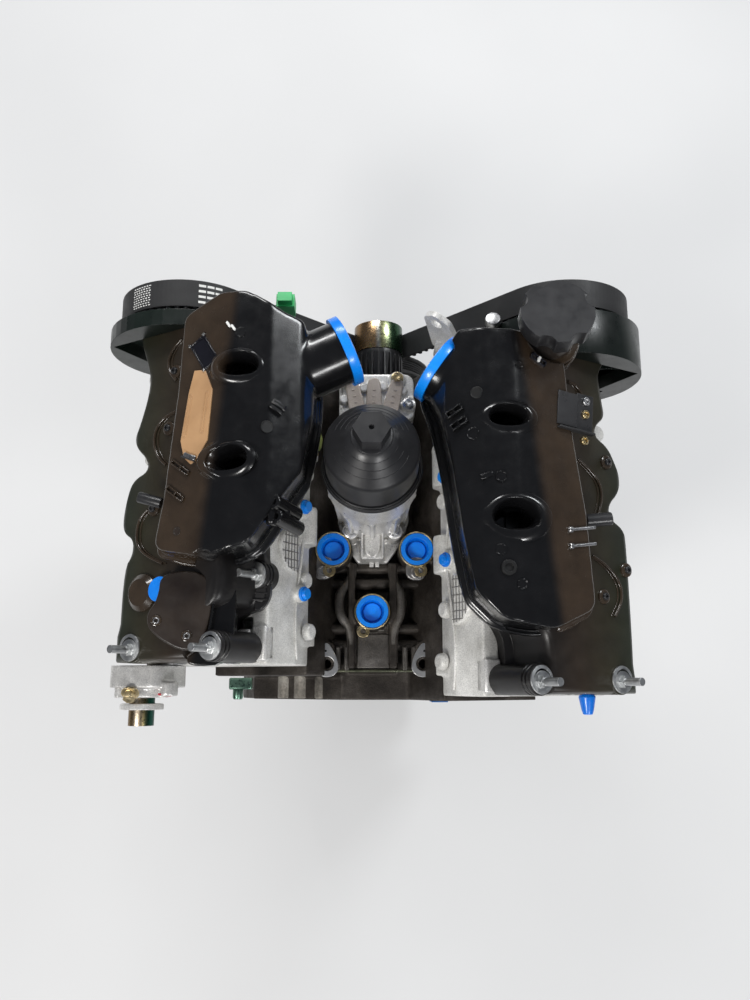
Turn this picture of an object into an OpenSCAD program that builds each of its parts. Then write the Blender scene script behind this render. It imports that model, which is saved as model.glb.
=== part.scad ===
// V6 diesel engine, 60 degrees, two overhead camshafts a bank, as a bare long block.
// The origin is on the crankshaft axis in the rear face of the block.
// +Y runs along the crankshaft to the timing end, +Z is up, +X is the right bank seen from the rear.

/* [Cylinders] */
// Cylinder bore
bore_d = 84; // [82:0.5:86]
// Piston stroke
stroke = 90; // [86:0.5:92]
// Connecting rod length between its two eyes
rod_l = 160; // [156:0.5:164]
// Spacing of the cylinders along a bank
bore_pitch = 92; // [90:0.5:94]
// Forward shift of the left bank
bank_shift = 30; // [28:0.5:31]
// Distance from the rear face to the first cylinder of the right bank
first_bore_y = 104; // [102:0.5:106]

/* [Crank train] */
// Main journal diameter
main_d = 67; // [62:0.5:70]
// Crank pin diameter
pin_d = 56; // [52:0.5:58]
// Wrist pin diameter
wrist_d = 28; // [26:0.5:30]
// Pilot bore in the crankshaft's rear flange
pilot_d = 24; // [20:1:28]
// Outer diameter of the front damper pulley
damper_d = 152; // [146:1:156]

/* [Cam drive] */
// Tooth pitch of the timing belt
tooth_pitch = 9.525; // [9.5:0.025:9.55]
// Teeth on a cam sprocket, twice the crank sprocket's
cam_teeth = 48; // [48:2:48]
// Width of the timing belt
belt_w = 30; // [26:1:31]
// Diameter of the smooth centre idler
idler_d = 56; // [54:1:58]
// Diameter of the tensioner pulley and the coolant pump wheel
wheel_d = 60; // [58:1:62]

/* [Top end] */
// Half the distance between the two camshafts of a bank
cam_half = 34; // [33:0.25:35]
// Height of a cylinder head up to the camshaft centres
head_h = 92; // [91:0.5:94]
// Height of a cam cover above the camshaft centres
cover_h = 60; // [57:0.5:62]
// Outer diameter of the intake necks
neck_d = 62; // [58:1:66]
// Diameter of the oil filter cap
cap_d = 91; // [88:1:94]
// Width across the flats of the filter cap's hexagon
cap_hex = 30; // [27:1:32]
// Bore of the three coolant ports in the valley
port_d = 33; // [30:1:35]
// Diameter of the oil filler cap
filler_d = 68; // [64:1:72]

/* [Hidden] */
$fn = 48;
half_v = 30;
clear = 0.3;
run = 0.05;
gasket = 1.2;
crank_r = stroke / 2;
bore_r = bore_d / 2;
piston_ch = 46;
deck_w = crank_r + rod_l + piston_ch + 1;
head_w = deck_w + gasket;
cam_w = head_w + head_h;
cover_w = cam_w + cover_h;
cam_x = cam_w * sin(half_v) + cam_half * cos(half_v);
cam_z = cam_w * cos(half_v) - cam_half * sin(half_v);
pair_y = first_bore_y + bank_shift / 2;
last_bore_y = first_bore_y + bank_shift + 2 * bore_pitch;
block_l = last_bore_y + bore_r + 14;
cyls = [0, 1, 2];
sides = [1, -1];
function cyl_y(i) = first_bore_y + i * bore_pitch;
function side_shift(s) = s > 0 ? 0 : bank_shift;

// Crank train
main_r = main_d / 2;
pin_r = pin_d / 2;
wrist_r = wrist_d / 2;
main_half = 10;
pin_half = 12;
bulkhead = main_half - 0.4;
crankcase_r = crank_r + 43;
flange_r = 45;
flange_y = 15;
flange_bolt_r = 33;
snout_r = 22;
wall = 18;
function main_y(k) = pair_y + (k - 0.5) * bore_pitch;
function crank_angle(s, i) = s * half_v + 120 * i;
function bank_angle(s, i) = s * 120 * i;
function wrist_w(a) = crank_r * cos(a) + sqrt(rod_l * rod_l - pow(crank_r * sin(a), 2));

// Block outline
rail_x = 112;
rail_z = -62;
deck_half = 62;
sump_z = -225;
bell_r = 178;
bell_l = 30;
bell_boss_r = 15;
left_face = 26;
bank_root = 180;

// Head and cover along a bank
head_y0 = 6;
head_y1 = cyl_y(2) + bore_r + 24;
head_in = 80;
head_out = 88;
journal_r = 13;
lobe_r = 15;
lobe_lift = 6;
spring_floor = 44;
stem_h = 66;
gear_y0 = 12;
gear_l = 14;
tooth_fill = 0.88;
bay_half = 62;

// Belt drive
belt_y0 = block_l + 20;
belt_y1 = belt_y0 + belt_w;
snout_y = belt_y1 + 29;
plate_y = belt_y0 - 7;
cam_pr = cam_teeth * tooth_pitch / (2 * PI);
crank_teeth = cam_teeth / 2;
crank_pr = crank_teeth * tooth_pitch / (2 * PI);
belt_back = 2;
belt_face = 0.5;
tooth_h = 3.4;
idler_x = 4;
hub_y = 350;
manifold_bolts = [[-30, 340], [24, 341], [36, 312]];
idler_z = 224;
wheel_x = 165;
wheel_z = 119.5;
wheel_r = wheel_d / 2;
idler_r = idler_d / 2;
seat = belt_back + 0.15;
wheels = [
    [0, 0, crank_pr],
    [wheel_x, wheel_z, -(wheel_r + seat)],
    [cam_x, cam_z, cam_pr],
    [idler_x, idler_z, -(idler_r + seat)],
    [-cam_x, cam_z, cam_pr],
    [-wheel_x, wheel_z, -(wheel_r + seat)],
];

// Oil filter, on an axis that leans to the front
filter_at = [-3, 202, 196];
filter_lean = -9;
cap_r = cap_d / 2;
cap_rim_h = 158;
cap_edge_h = 206;
cap_top_h = 234;
hex_h = 13;

// Coolant ports in the valley: x, y and height of the seat
port_r = port_d / 2;
ports = [[-46, 162, 233], [46, 162, 233], [-3, 95, 222]];
collar_w = 2.4;

// Intake plenums: outline on the ground plane, with a corner radius for each point
plenum_z0 = cover_w * cos(half_v) - 0.9135;
plenum_rim_z = plenum_z0 + 14;
plenum_out = cover_w * sin(half_v) - 202.6;
lip_ratio = 1.42;
left_outline = [
    [182, 362, 12], [146, 379, 14], [118, 377, 14], [84, 358, 12], [66, 352, 6], [57, 296, 10],
    [58, 262, 20], [67, 206, 16], [92, 168, 20], [112, 138, 22], [152, 128, 20], [203, 138, 10],
    [195, 184, 20], [185, 288, 20]
];
right_outline = [
    [178, 328, 10], [140, 339, 14], [104, 340, 16], [78, 342, 6], [46, 298, 6], [60, 262, 20],
    [70, 214, 20], [78, 150, 20], [88, 96, 22], [112, 72, 26], [158, 65, 20], [199, 84, 14],
    [194, 170, 20], [183, 250, 20]
];
left_funnels = [[125, 303, 19, 13.5], [132, 214.5, 20.5, 13.5]];
right_funnels = [[120.7, 254, 18.5, 12], [125, 162.5, 22, 16.4]];
left_neck = [-26 - plenum_out, 335, plenum_z0 + 35, 25];
right_neck = [58 + plenum_out, 317, plenum_z0 + 35, 144];
neck_r = neck_d / 2;
filler_at = [166 + plenum_out, 334, plenum_z0 + 22];
filler_r = filler_d / 2;

// Colours
module iron() color([0.24, 0.23, 0.22]) children();
module alloy() color([0.78, 0.77, 0.74]) children();
module black() color([0.07, 0.07, 0.08]) children();
module rubber() color([0.1, 0.1, 0.1]) children();
module steel() color([0.66, 0.66, 0.68]) children();
module blue() color([0.05, 0.5, 0.95]) children();

// Solids along the crankshaft and upright solids
module ycyl(r, y0, y1, x = 0, z = 0)
    translate([x, y0, z]) rotate([-90, 0, 0]) cylinder(r = r, h = y1 - y0);
module prism_y(pts, y0, y1)
    translate([0, y1, 0]) rotate([90, 0, 0]) linear_extrude(y1 - y0) polygon(pts);
module prism_z(pts, z0, z1)
    translate([0, 0, z0]) linear_extrude(z1 - z0) polygon(pts);
module box(x0, x1, y0, y1, z0, z1)
    translate([x0, y0, z0]) cube([x1 - x0, y1 - y0, z1 - z0]);
module zcyl(r, x, y, z0, z1)
    translate([x, y, z0]) cylinder(r = r, h = z1 - z0);
module hexagon(af, h)
    cylinder(d = af / cos(30), h = h, $fn = 6);

// Places a child along a bank: x is across it, outboard positive, z is along the bores
module bank(s) {
    if (s > 0) rotate([0, half_v, 0]) children();
    else translate([0, bank_shift, 0]) mirror([1, 0, 0]) rotate([0, half_v, 0]) children();
}

// Outline with a radius at each corner
function unit(v) = v / norm(v);
function corner(a, b, c, r) = let(
    u = unit([a[0] - b[0], a[1] - b[1]]),
    v = unit([c[0] - b[0], c[1] - b[1]]),
    half = acos(u * v) / 2,
    o = [b[0], b[1]] + unit(u + v) * (r / sin(half)),
    p = [b[0], b[1]] + u * (r / tan(half)),
    q = [b[0], b[1]] + v * (r / tan(half)),
    a0 = atan2(p[1] - o[1], p[0] - o[0]),
    d = atan2(q[1] - o[1], q[0] - o[0]) - a0,
    s = d > 180 ? d - 360 : d < -180 ? d + 360 : d,
    n = 5
) r <= 0 ? [[b[0], b[1]]] : [for (k = [0:n]) o + r * [cos(a0 + s * k / n), sin(a0 + s * k / n)]];
function round_poly(p) = [
    for (i = [0:len(p) - 1])
        each corner(p[(i + len(p) - 1) % len(p)], p[i], p[(i + 1) % len(p)], p[i][2])
];
function mirrored(p) = concat(p, [for (i = [len(p) - 1:-1:0]) [-p[i][0], p[i][1], p[i][2]]]);

// Cylinder block
block_profile = mirrored([
    [rail_x + 10, rail_z, 0], [rail_x + 10, rail_z + 12, 2], [rail_x, rail_z + 18, 6], [rail_x, 40, 14],
    [deck_half * cos(half_v) + deck_w * 0.45 * sin(half_v), deck_w * 0.45 * cos(half_v) - 40, 16],
    [deck_half * cos(half_v) + deck_w * sin(half_v), deck_w * cos(half_v) - deck_half * sin(half_v), 0],
    [-deck_half * cos(half_v) + deck_w * sin(half_v), deck_w * cos(half_v) + deck_half * sin(half_v), 0],
    [38, 186, 8]
]);
bell_bolts = [[43, 158], [99, 131], [146, 74], [150, -28]];

module crank_bays() {
    for (k = [-1:2]) {
        y0 = k < 0 ? wall : main_y(k) + bulkhead;
        y1 = main_y(k + 1) - bulkhead;
        ycyl(crankcase_r, y0, y1);
        box(-crankcase_r, crankcase_r, y0, y1, rail_z - 1, 0);
    }
    box(-crankcase_r, crankcase_r, wall, main_y(3) + bulkhead, rail_z - 1, 0);
}

module bore_cuts(s) {
    bank(s) for (i = cyls) {
        zcyl(bore_r, 0, cyl_y(i), 70, deck_w + 1);
        for (u = [-52, 52], v = [-bore_pitch / 2, bore_pitch / 2])
            zcyl(5, u, cyl_y(i) + v, deck_w - 40, deck_w + 1);
    }
}

module valley_castings() {
    for (p = ports) zcyl(port_r + 4, p[0], p[1], 150, p[2]);
    box(-30, 24, 30, 95, 150, 208);
    for (x = [-30, 16]) box(x, x + 8, 34, 150, 150, 216);
    for (y = [52, 74, 122, 142]) prism_y([[-62, 150], [56, 150], [52, 196], [-58, 196]], y, y + 10);
    box(-60, 60, 172, 318, 150, 196);
    for (s = sides) {
        zcyl(12, 53 * s, 39, 150, 215);
        zcyl(7, 51 * s, 56, 150, 215);
        box(53 * s - 7, 53 * s + 7, 39, 56, 150, 215);
    }
}

module mount_bosses() {
    for (s = sides, y = [150, 240], z = [-8, 52])
        side_boss(13, 15, s, y, z);
}
module side_boss(r, l, s, y, z)
    translate([s * (rail_x - 6), y, z]) rotate([0, s * 90, 0]) cylinder(r = r, h = l + 6);

module bank_step() bank(-1) box(-deck_half - 20, deck_half + 20, -bank_shift - 1, left_face - bank_shift,
    bank_root, deck_w + 1);

// The rear flange is a solid of its own, so that the way to the pilot bore stays clear
module rear_flange() difference() {
    union() {
        difference() {
            prism_y(round_poly(block_profile), 0, bell_l);
            bank_step();
        }
        intersection() {
            ycyl(bell_r, 0, bell_l);
            box(-166, 166, 0, bell_l, rail_z, bell_r);
        }
        for (b = bell_bolts, s = sides) ycyl(bell_boss_r, 0, bell_l + 6, s * b[0], b[1]);
    }
    ycyl(crankcase_r, wall, bell_l + 7);
    box(-crankcase_r, crankcase_r, wall, bell_l + 7, rail_z - 1, 0);
    ycyl(flange_r + run, -1, wall + 1);
    for (b = bell_bolts, s = sides) ycyl(5.25, -1, 26, s * b[0], b[1]);
}

module crankcase() difference() {
    union() {
        difference() {
            prism_y(round_poly(block_profile), bell_l + clear, block_l);
            bank_step();
        }
        valley_castings();
        mount_bosses();
        for (y = [70, 110, 200, 290, 340]) box(-rail_x - 5, rail_x + 5, y, y + 6, rail_z, 30);
    }
    box(-bell_r, bell_r, -1, bell_l + clear, rail_z - 1, deck_w + deck_half);
    for (b = bell_bolts, s = sides) ycyl(bell_boss_r + clear, bell_l - 1, bell_l + 6 + clear, s * b[0], b[1]);
    crank_bays();
    for (s = sides) bore_cuts(s);
    ycyl(main_r + run, bell_l - 1, block_l + 1);
    for (p = ports) {
        zcyl(port_r, p[0], p[1], p[2] - 34, p[2] + 1);
        zcyl(port_r + collar_w + 1, p[0], p[1], p[2], p[2] + 20);
    }
    for (s = sides) {
        zcyl(5, 53 * s, 39, 190, 216);
        zcyl(1.8, 51 * s, 56, 200, 216);
    }
    for (s = sides, y = [150, 240], z = [-8, 52])
        translate([s * (rail_x + 16), y, z]) rotate([0, -s * 90, 0]) cylinder(r = 5.1, h = 22);
}

module cylinder_block() iron() {
    rear_flange();
    crankcase();
}

module main_bearing_caps() iron() for (k = [0:3]) difference() {
    union() {
        prism_y(round_poly([[-50, 0, 0], [-50, -30, 4], [-38, -46, 6], [38, -46, 6], [50, -30, 4], [50, 0, 0]]),
            main_y(k) - bulkhead, main_y(k) + bulkhead);
        for (s = sides) translate([s * 42, main_y(k), -40]) hexagon(16, 9);
    }
    ycyl(main_r + run, main_y(k) - 20, main_y(k) + 20);
}

// Crankshaft: each throw has its own pin, split by the bank angle
module web(a, y0, y1) rotate([0, a, 0]) {
    ycyl(main_r + 7, y0, y1);
    ycyl(pin_r + 7, y0, y1, 0, crank_r);
    box(-pin_r - 2, pin_r + 2, y0, y1, 0, crank_r);
    intersection() {
        ycyl(crankcase_r - 9, y0, y1);
        prism_y([[-24, 0], [24, 0], [72, -60], [72, -90], [-72, -90], [-72, -60]], y0, y1);
    }
}

module flying_web(i) {
    y0 = cyl_y(i) + pin_half;
    y1 = cyl_y(i) + bank_shift - pin_half;
    ycyl(main_r + 2, y0 + 0.1, y1 - 0.1);
    for (s = sides) rotate([0, crank_angle(s, i), 0]) {
        step = s > 0 ? 0 : 0.2;
        ycyl(pin_r + 7, y0 + step, y1 - 0.2 + step, 0, crank_r);
        box(-pin_r, pin_r, y0 + 0.4 + step, y1 - 0.6 + step, -4, crank_r);
    }
}

module crankshaft() steel() difference() {
    union() {
        ycyl(main_r, flange_y, main_y(0) + main_half + 1);
        for (k = [1, 2]) ycyl(main_r, main_y(k) - main_half - 1, main_y(k) + main_half + 1);
        ycyl(main_r, main_y(3) - main_half - 1, block_l);
        ycyl(snout_r, block_l - 1, snout_y);
        for (i = cyls) {
            for (s = sides) rotate([0, crank_angle(s, i), 0])
                ycyl(pin_r, cyl_y(i) + side_shift(s) - pin_half - 1, cyl_y(i) + side_shift(s) + pin_half + 1, 0, crank_r);
            web(crank_angle(1, i), main_y(i) + main_half, cyl_y(i) - pin_half);
            flying_web(i);
            web(crank_angle(-1, i), cyl_y(i) + bank_shift + pin_half, main_y(i + 1) - main_half);
        }
    }
    ycyl(7, belt_y1 + 4, snout_y + 1);
}

// Pistons, rods and pins at the true crank angle, in the frame of their cylinder
module at_wrist(s, i) bank(s) translate([0, cyl_y(i), wrist_w(bank_angle(s, i))]) children();

module piston(s, i) alloy() at_wrist(s, i) difference() {
    translate([0, 0, -22]) cylinder(r = bore_r - run, h = piston_ch + 22);
    difference() {
        translate([0, 0, -23]) cylinder(r = bore_r - 7, h = piston_ch + 10);
        for (v = sides) translate([-20, v > 0 ? 12.2 : -bore_r, -20]) cube([40, bore_r - 12.2, piston_ch + 8]);
    }
    ycyl(wrist_r + run, -bore_r, bore_r);
    for (v = sides) translate([-25, v > 0 ? bore_r - 7 : -bore_r, -30]) cube([50, 7, 38]);
    for (h = [piston_ch - 9, piston_ch - 15, piston_ch - 21]) translate([0, 0, h])
        rotate_extrude() translate([bore_r - 3, 0]) square([4, 2]);
    translate([0, 0, piston_ch - 11]) rotate_extrude()
        polygon([[0, 5], [6, 3], [14, 0], [21, 1], [25, 6], [26, 12], [0, 12]]);
}

module connecting_rod(s, i) steel() bank(s) {
    a = bank_angle(s, i);
    lean = -asin(crank_r * sin(a) / rod_l);
    translate([crank_r * sin(a), cyl_y(i), crank_r * cos(a)]) rotate([0, lean, 0]) difference() {
        union() {
            ycyl(pin_r + 9, -pin_half + 0.2, pin_half - 0.2);
            ycyl(wrist_r + 6, -12, 12, 0, rod_l);
            prism_y(round_poly([[-19, 20, 0], [-12, 46, 20], [-9, rod_l - 10, 0], [9, rod_l - 10, 0],
                [12, 46, 20], [19, 20, 0]]), -8, 8);
            for (u = sides) translate([u * (pin_r + 4), 0, -15]) {
                cylinder(r = 7, h = 30);
                translate([0, 0, -6]) hexagon(11, 7);
            }
        }
        ycyl(pin_r + run, -20, 20);
        ycyl(wrist_r + run, -20, 20, 0, rod_l);
        for (v = sides) prism_y(round_poly([[-9, 46, 3], [-5, rod_l - 26, 2], [5, rod_l - 26, 2], [9, 46, 3]]),
            v > 0 ? 4 : -9, v > 0 ? 9 : -4);
    }
}

module wrist_pins() steel() for (s = sides, i = cyls) at_wrist(s, i) difference() {
    ycyl(wrist_r, -bore_r + 9, bore_r - 9);
    ycyl(wrist_r - 6, -bore_r, bore_r);
}

// Cylinder heads
head_profile = [
    [-deck_half, head_w, 0], [-deck_half - 8, head_w + 9, 4], [-head_in, head_w + 46, 10],
    [-head_in, cam_w, 0], [head_out - 12, cam_w, 0], [head_out, head_w + 56, 8], [head_out, head_w + 34, 8],
    [deck_half + 6, head_w + 18, 6], [deck_half + 4, head_w, 0]
];
function bay_ends() = concat(
    [[gear_y0 - 2, gear_y0 + gear_l + 2], [gear_y0 + gear_l + 12, cyl_y(0) - bore_pitch / 2 - 6]],
    [for (i = cyls) [cyl_y(i) - bore_pitch / 2 + 6, cyl_y(i) + bore_pitch / 2 - 6]],
    [[cyl_y(2) + bore_pitch / 2 + 6, head_y1 - 8]]
);

module head_gaskets() steel() for (s = sides) bank(s) difference() {
    box(-deck_half, deck_half, head_y0, head_y1, deck_w, head_w);
    for (i = cyls) zcyl(bore_r + 1, 0, cyl_y(i), deck_w - 1, head_w + 1);
}

module cam_bores(r) for (u = [-cam_half, cam_half]) ycyl(r, head_y0 - 1, head_y1 + 1, u, cam_w);

module cylinder_head(s) alloy() {
    head_casting(s);
    for (d = drillings) if (d[0] == s) at_drilling(d) translate([0, 0, -9]) cylinder(r = 9, h = 9);
}

module head_casting(s) bank(s) difference() {
    union() {
        prism_y(round_poly(head_profile), head_y0, head_y1);
        for (i = cyls) {
            translate([head_out - 6, cyl_y(i), head_w + 45]) rotate([0, 90, 0]) cylinder(r = 25, h = 12);
            for (v = [-30, 30])
                translate([head_out - 6, cyl_y(i) + v, head_w + 45]) rotate([0, 90, 0]) cylinder(r = 9, h = 12);
            translate([-head_in + 8, cyl_y(i) + bore_pitch / 2, head_w + 24])
                ycyl(15, -20, 20);
        }
        for (y = [head_y0 + 20, head_y1 - 30]) box(-deck_half - 14, -deck_half, y, y + 14, head_w + 4, cam_w);
    }
    for (b = bay_ends()) box(-bay_half, bay_half, b[0], b[1], head_w + spring_floor, cam_w + 1);
    box(-cam_half * 2 - 6, cam_half * 2 + 6, gear_y0 - 2, gear_y0 + gear_l + 2, cam_w - cam_half - 5, cam_w + 1);
    cam_bores(journal_r + run);
    for (i = cyls) {
        zcyl(9, 0, cyl_y(i), head_w + 10, cam_w + 1);
        for (u = [-20, 20], v = [-17, 17]) {
            zcyl(3.05, u, cyl_y(i) + v, head_w - 1, head_w + spring_floor + 1);
            zcyl(16.1, u, cyl_y(i) + v, head_w - 1, head_w + 5);
        }
        translate([head_out - 20, cyl_y(i), head_w + 45]) rotate([0, 90, 0]) cylinder(r = 17, h = 30);
        for (v = [-30, 30])
            translate([head_out - 10, cyl_y(i) + v, head_w + 45]) rotate([0, 90, 0]) cylinder(r = 3.4, h = 20);
    }
}

// Valves with their springs, and the finger that each cam lobe presses
module valves() steel() for (s = sides) bank(s) for (i = cyls, u = [-20, 20], v = [-17, 17])
    translate([u, cyl_y(i) + v, head_w]) {
        translate([0, 0, 0.5]) rotate_extrude()
            polygon([[0, 0], [16, 0], [16, 1.5], [13.5, 4.2], [3, 4.4], [3, stem_h - 0.5], [0, stem_h - 0.5]]);
        translate([0, 0, spring_floor + clear]) difference() {
            cylinder(r = 8.8, h = 17);
            translate([0, 0, -1]) cylinder(r = 6.2, h = 16);
        }
    }

module rocker_fingers() steel() for (s = sides) bank(s) for (i = cyls, u = [-1, 1], v = [-17, 17])
    translate([0, cyl_y(i) + v, head_w]) {
        roller_h = head_h - lobe_r - lobe_lift - 5.5 - clear;
        ycyl(5.5, -5, 5, u * cam_half, roller_h);
        prism_y([[u * 15, stem_h + clear], [u * 15, stem_h + 4], [u * cam_half, roller_h + 2], [u * 50, 64],
            [u * 50, 58], [u * cam_half, roller_h - 4], [u * 24.5, stem_h + clear]], -4, 4);
        zcyl(4.5, u * 47, 0, spring_floor + clear, 60);
    }

// Camshafts: gears at the rear tie the two of a bank together, the exhaust one carries the sprocket
module gear(r, n, y0, y1) {
    m = 2 * r / n;
    prism_y([for (k = [0:n - 1]) for (p = [[-0.42, -1.15], [-0.27, 0.0], [-0.13, 0.85], [0.13, 0.85], [0.27, 0.0], [0.42, -1.15]])
        let(a = (k + p[0] * tooth_fill) * 360 / n) (r + p[1] * m) * [cos(a), sin(a)]], y0, y1);
}

module camshaft(s, u) steel() bank(s) translate([u * cam_half, 0, cam_w]) {
    exhaust = u > 0;
    ycyl(journal_r, head_y0 + 1, exhaust ? head_y1 : head_y1 - 2);
    if (exhaust) ycyl(journal_r - 3, head_y1 - 1, belt_y1 - side_shift(s) + 3);
    rotate([0, exhaust ? 0 : 180 / 24, 0]) gear(cam_half, 24, gear_y0, gear_y0 + gear_l);
    for (i = cyls, v = [-17, 17]) translate([0, cyl_y(i) + v, 0])
        rotate([0, u * (120 * i + 60), 0]) {
            ycyl(lobe_r, -6, 6);
            ycyl(8, -6, 6, 0, lobe_r + lobe_lift - 8);
            prism_y([[-14.5, 6], [14.5, 6], [7.6, lobe_r + lobe_lift - 5.4], [-7.6, lobe_r + lobe_lift - 5.4]], -6, 6);
        }
}

// Cam covers
cover_profile = [
    [-head_in, cam_w, 0], [-head_in, cam_w + 10, 2], [-head_in + 8, cam_w + 14, 4], [-head_in + 14, cover_w, 10],
    [58, cover_w, 12], [head_out - 20, cam_w + 30, 8], [head_out - 18, cam_w + 12, 3], [head_out - 12, cam_w + 10, 2],
    [head_out - 12, cam_w, 0]
];

module cover_shape(s) {
    prism_y(round_poly(cover_profile), head_y0 + 2, head_y1 - 2);
    for (i = cyls) zcyl(22, 50, cyl_y(i) + 14, cam_w, cover_w - 6);
    for (p = studs(s)) if (p[0] < -70) zcyl(11, p[0], p[1], cam_w + 1, cam_w + 14);
}

module cam_cover(s) black() difference() {
    bank(s) difference() {
        cover_shape(s);
        for (b = bay_ends()) box(-bay_half, bay_half, b[0], b[1], cam_w - 1, cam_w + 34);
        box(-cam_half * 2 - 5, cam_half * 2 + 5, gear_y0 - 2, gear_y0 + gear_l + 2, cam_w - 1, cam_w + cam_half + 6);
        cam_bores(journal_r + run);
        for (i = cyls) zcyl(13, 8, cyl_y(i), cover_w - 30, cover_w + 1);
        for (p = studs(s)) zcyl(3.05, p[0], p[1], stud_w(p) - 13, cover_w + 1);
        for (p = studs(s)) zcyl(10.5, p[0], p[1], stud_w(p), cover_w + 1);
    }
}

function stud_w(p) = p[0] < -70 ? cam_w + 14 : cover_w;
function studs(s) = concat(
    [[-62, head_y0 + 14], [38, head_y0 + 14]],
    s < 0 ? [[-head_in + 5, cyl_y(0) - 14]] : []
);

module cover_studs() steel() for (s = sides) bank(s) for (p = studs(s)) {
    translate([p[0], p[1], stud_w(p)]) {
        cylinder(r = 10, h = 2.5);
        translate([0, 0, 2.5]) hexagon(11, 5);
        cylinder(r = 3.8, h = 26);
        translate([0, 0, -12]) cylinder(r = 3, h = 13);
    }
}

// Intake plenums: an outline cut to a crowned section, seated on the sloped cover
crown = [for (p = [[44, 0, 0], [44, 34, 8], [66, 66, 14], [98, 80, 14], [128, 78, 20], [204, 44, 16], [214, 30, 0], [214, 0, 0]])
    [p[0] + plenum_out, p[1] + plenum_z0, p[2]]];
function moved_out(outline) = [for (p = outline) [p[0] + plenum_out, p[1], p[2]]];
function mouth(f, k) = [for (a = [0:12:348]) [f[0] + plenum_out + k * f[2] * cos(a), f[1] + k * f[3] * sin(a)]];

module plenum_side(s) {
    if (s > 0) children();
    else mirror([1, 0, 0]) children();
}

module neck(n, r, l, back) translate([n[0], n[1], n[2]]) rotate([0, 90, n[3]])
    translate([0, 0, -back]) cylinder(r = r, h = l + back);

module intake_plenum(s, outline, funnels, n, back) black() difference() {
    union() {
        difference() {
            plenum_side(s) difference() {
                plenum_body(outline, funnels);
                for (f = funnels) {
                    prism_z(mouth(f, 0.75), plenum_z0 + 26, plenum_z0 + 74);
                    prism_z(mouth(f, 1), plenum_z0 + 56, plenum_z0 + 90);
                }
            }
            neck(n, neck_r + 6, 40, 9);
        }
        neck(n, neck_r, 0, back);
    }
    neck(n, neck_r - 4, 1, back * 0.75);
    bank(s) box(-head_in - clear, head_out + 20, 0, 420, cam_w - 40, cover_w);
    bank(s) for (p = studs(s)) zcyl(14, p[0], p[1], cam_w, cover_w + 40);
    if (s > 0) filler_axis() {
        translate([0, 0, -30]) cylinder(r = 27 + clear, h = 90);
        translate([0, 0, 54]) cylinder(r = filler_r + 1, h = 40);
    }
}

module plenum_body(outline, funnels) {
    intersection() {
        prism_z(round_poly(moved_out(outline)), plenum_z0, plenum_z0 + 90);
        prism_y(round_poly(crown), 0, 420);
    }
    prism_z(round_poly([for (p = moved_out(outline)) [p[0] + (p[0] > 130 ? 4 : -5), p[1] + (p[1] > 250 ? 4 : -4), p[2]]]),
        plenum_rim_z, plenum_rim_z + 8);
    for (f = funnels) prism_z(mouth(f, lip_ratio), plenum_z0 + 30, plenum_z0 + 73);
}

module intake_plug(n) blue() translate([n[0], n[1], n[2]]) rotate([0, 90, n[3]]) rotate_extrude()
    polygon([[0, 0], [0, 2], [neck_r + 1, 2], [neck_r + 3.4, 1], [neck_r + 3.4, -8], [neck_r + clear, -8],
        [neck_r + clear, 0]]);

// Oil filler on the front of the right cover
module filler_axis() translate(filler_at) rotate([-12, 0, 0]) children();

module oil_filler_neck() black() difference() {
    filler_axis() difference() {
        union() {
            translate([0, 0, -20]) cylinder(r = 23, h = 76);
            for (h = [4, 11]) translate([0, 0, h]) cylinder(r = 27, h = 3);
        }
        cylinder(r = 19, h = 60);
    }
    bank(1) box(-100, head_out + 20, 0, 420, cam_w - 60, cover_w);
}

module oil_filler_cap() black() filler_axis() translate([0, 0, 56 + clear]) {
    difference() {
        cylinder(r = filler_r, h = 17);
        for (a = [20, 110, 160, 250, 300]) rotate([0, 0, a]) translate([filler_r + 5, 0, -1]) cylinder(r = 10, h = 19);
    }
    translate([0, 0, -26]) cylinder(r = 19 - run, h = 27);
}

// Oil filter
module at_filter() translate(filter_at) rotate([filter_lean, 0, 0]) children();

module oil_filter_housing() alloy() difference() {
    union() {
        at_filter() {
            rotate_extrude() polygon([[0, 0], [34, 0], [36, 50], [cap_r - 4, 104], [cap_r + 1, 118],
                [cap_r + 2, cap_rim_h - clear], [0, cap_rim_h - clear]]);
            for (k = [0:9]) rotate([0, 0, 36 * k + 18]) housing_rib();
        }
        prism_z(round_poly([[-18, 148, 6], [12, 148, 6], [30, 174, 8], [38, 196, 8], [38, 244, 8], [-42, 244, 8],
            [-42, 196, 8], [-36, 174, 8]]), 196 + clear, 214);
        box(-15, 9, 150, 190, 196 + clear, 250);
        for (x = [-27, 21]) zcyl(9, x, 181, 196 + clear, 246);
    }
    at_filter() {
        translate([0, 0, 24]) cylinder(r = cap_r - 10, h = 10);
        translate([0, 0, 24]) cylinder(r = 31, h = 100);
        translate([0, 0, 110]) cylinder(r = cap_r - 7, h = cap_rim_h - 98);
    }
    for (x = [-27, 21]) zcyl(4.2, x, 181, 226, 247);
    for (p = ports) zcyl(port_r + 4 + clear, p[0], p[1], 190, 260);
    box(-60, 60, 100, 300, 150, 196 + clear);
    box(-31, 25, 100, 150 + clear, 190, 217);
}
module housing_rib() rotate([90, 0, 0]) translate([0, 0, -2]) linear_extrude(4)
    polygon([[30, 20], [39, 20], [43, 96], [cap_r + 2, 116], [30, 116]]);

module filter_element() color([0.9, 0.86, 0.7]) at_filter() difference() {
    union() {
        translate([0, 0, 24 + clear]) cylinder(r = 27, h = 96);
        for (h = [24 + clear, 117]) translate([0, 0, h]) cylinder(r = 29, h = 3);
    }
    translate([0, 0, 23]) cylinder(r = 10, h = 99);
}

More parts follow.
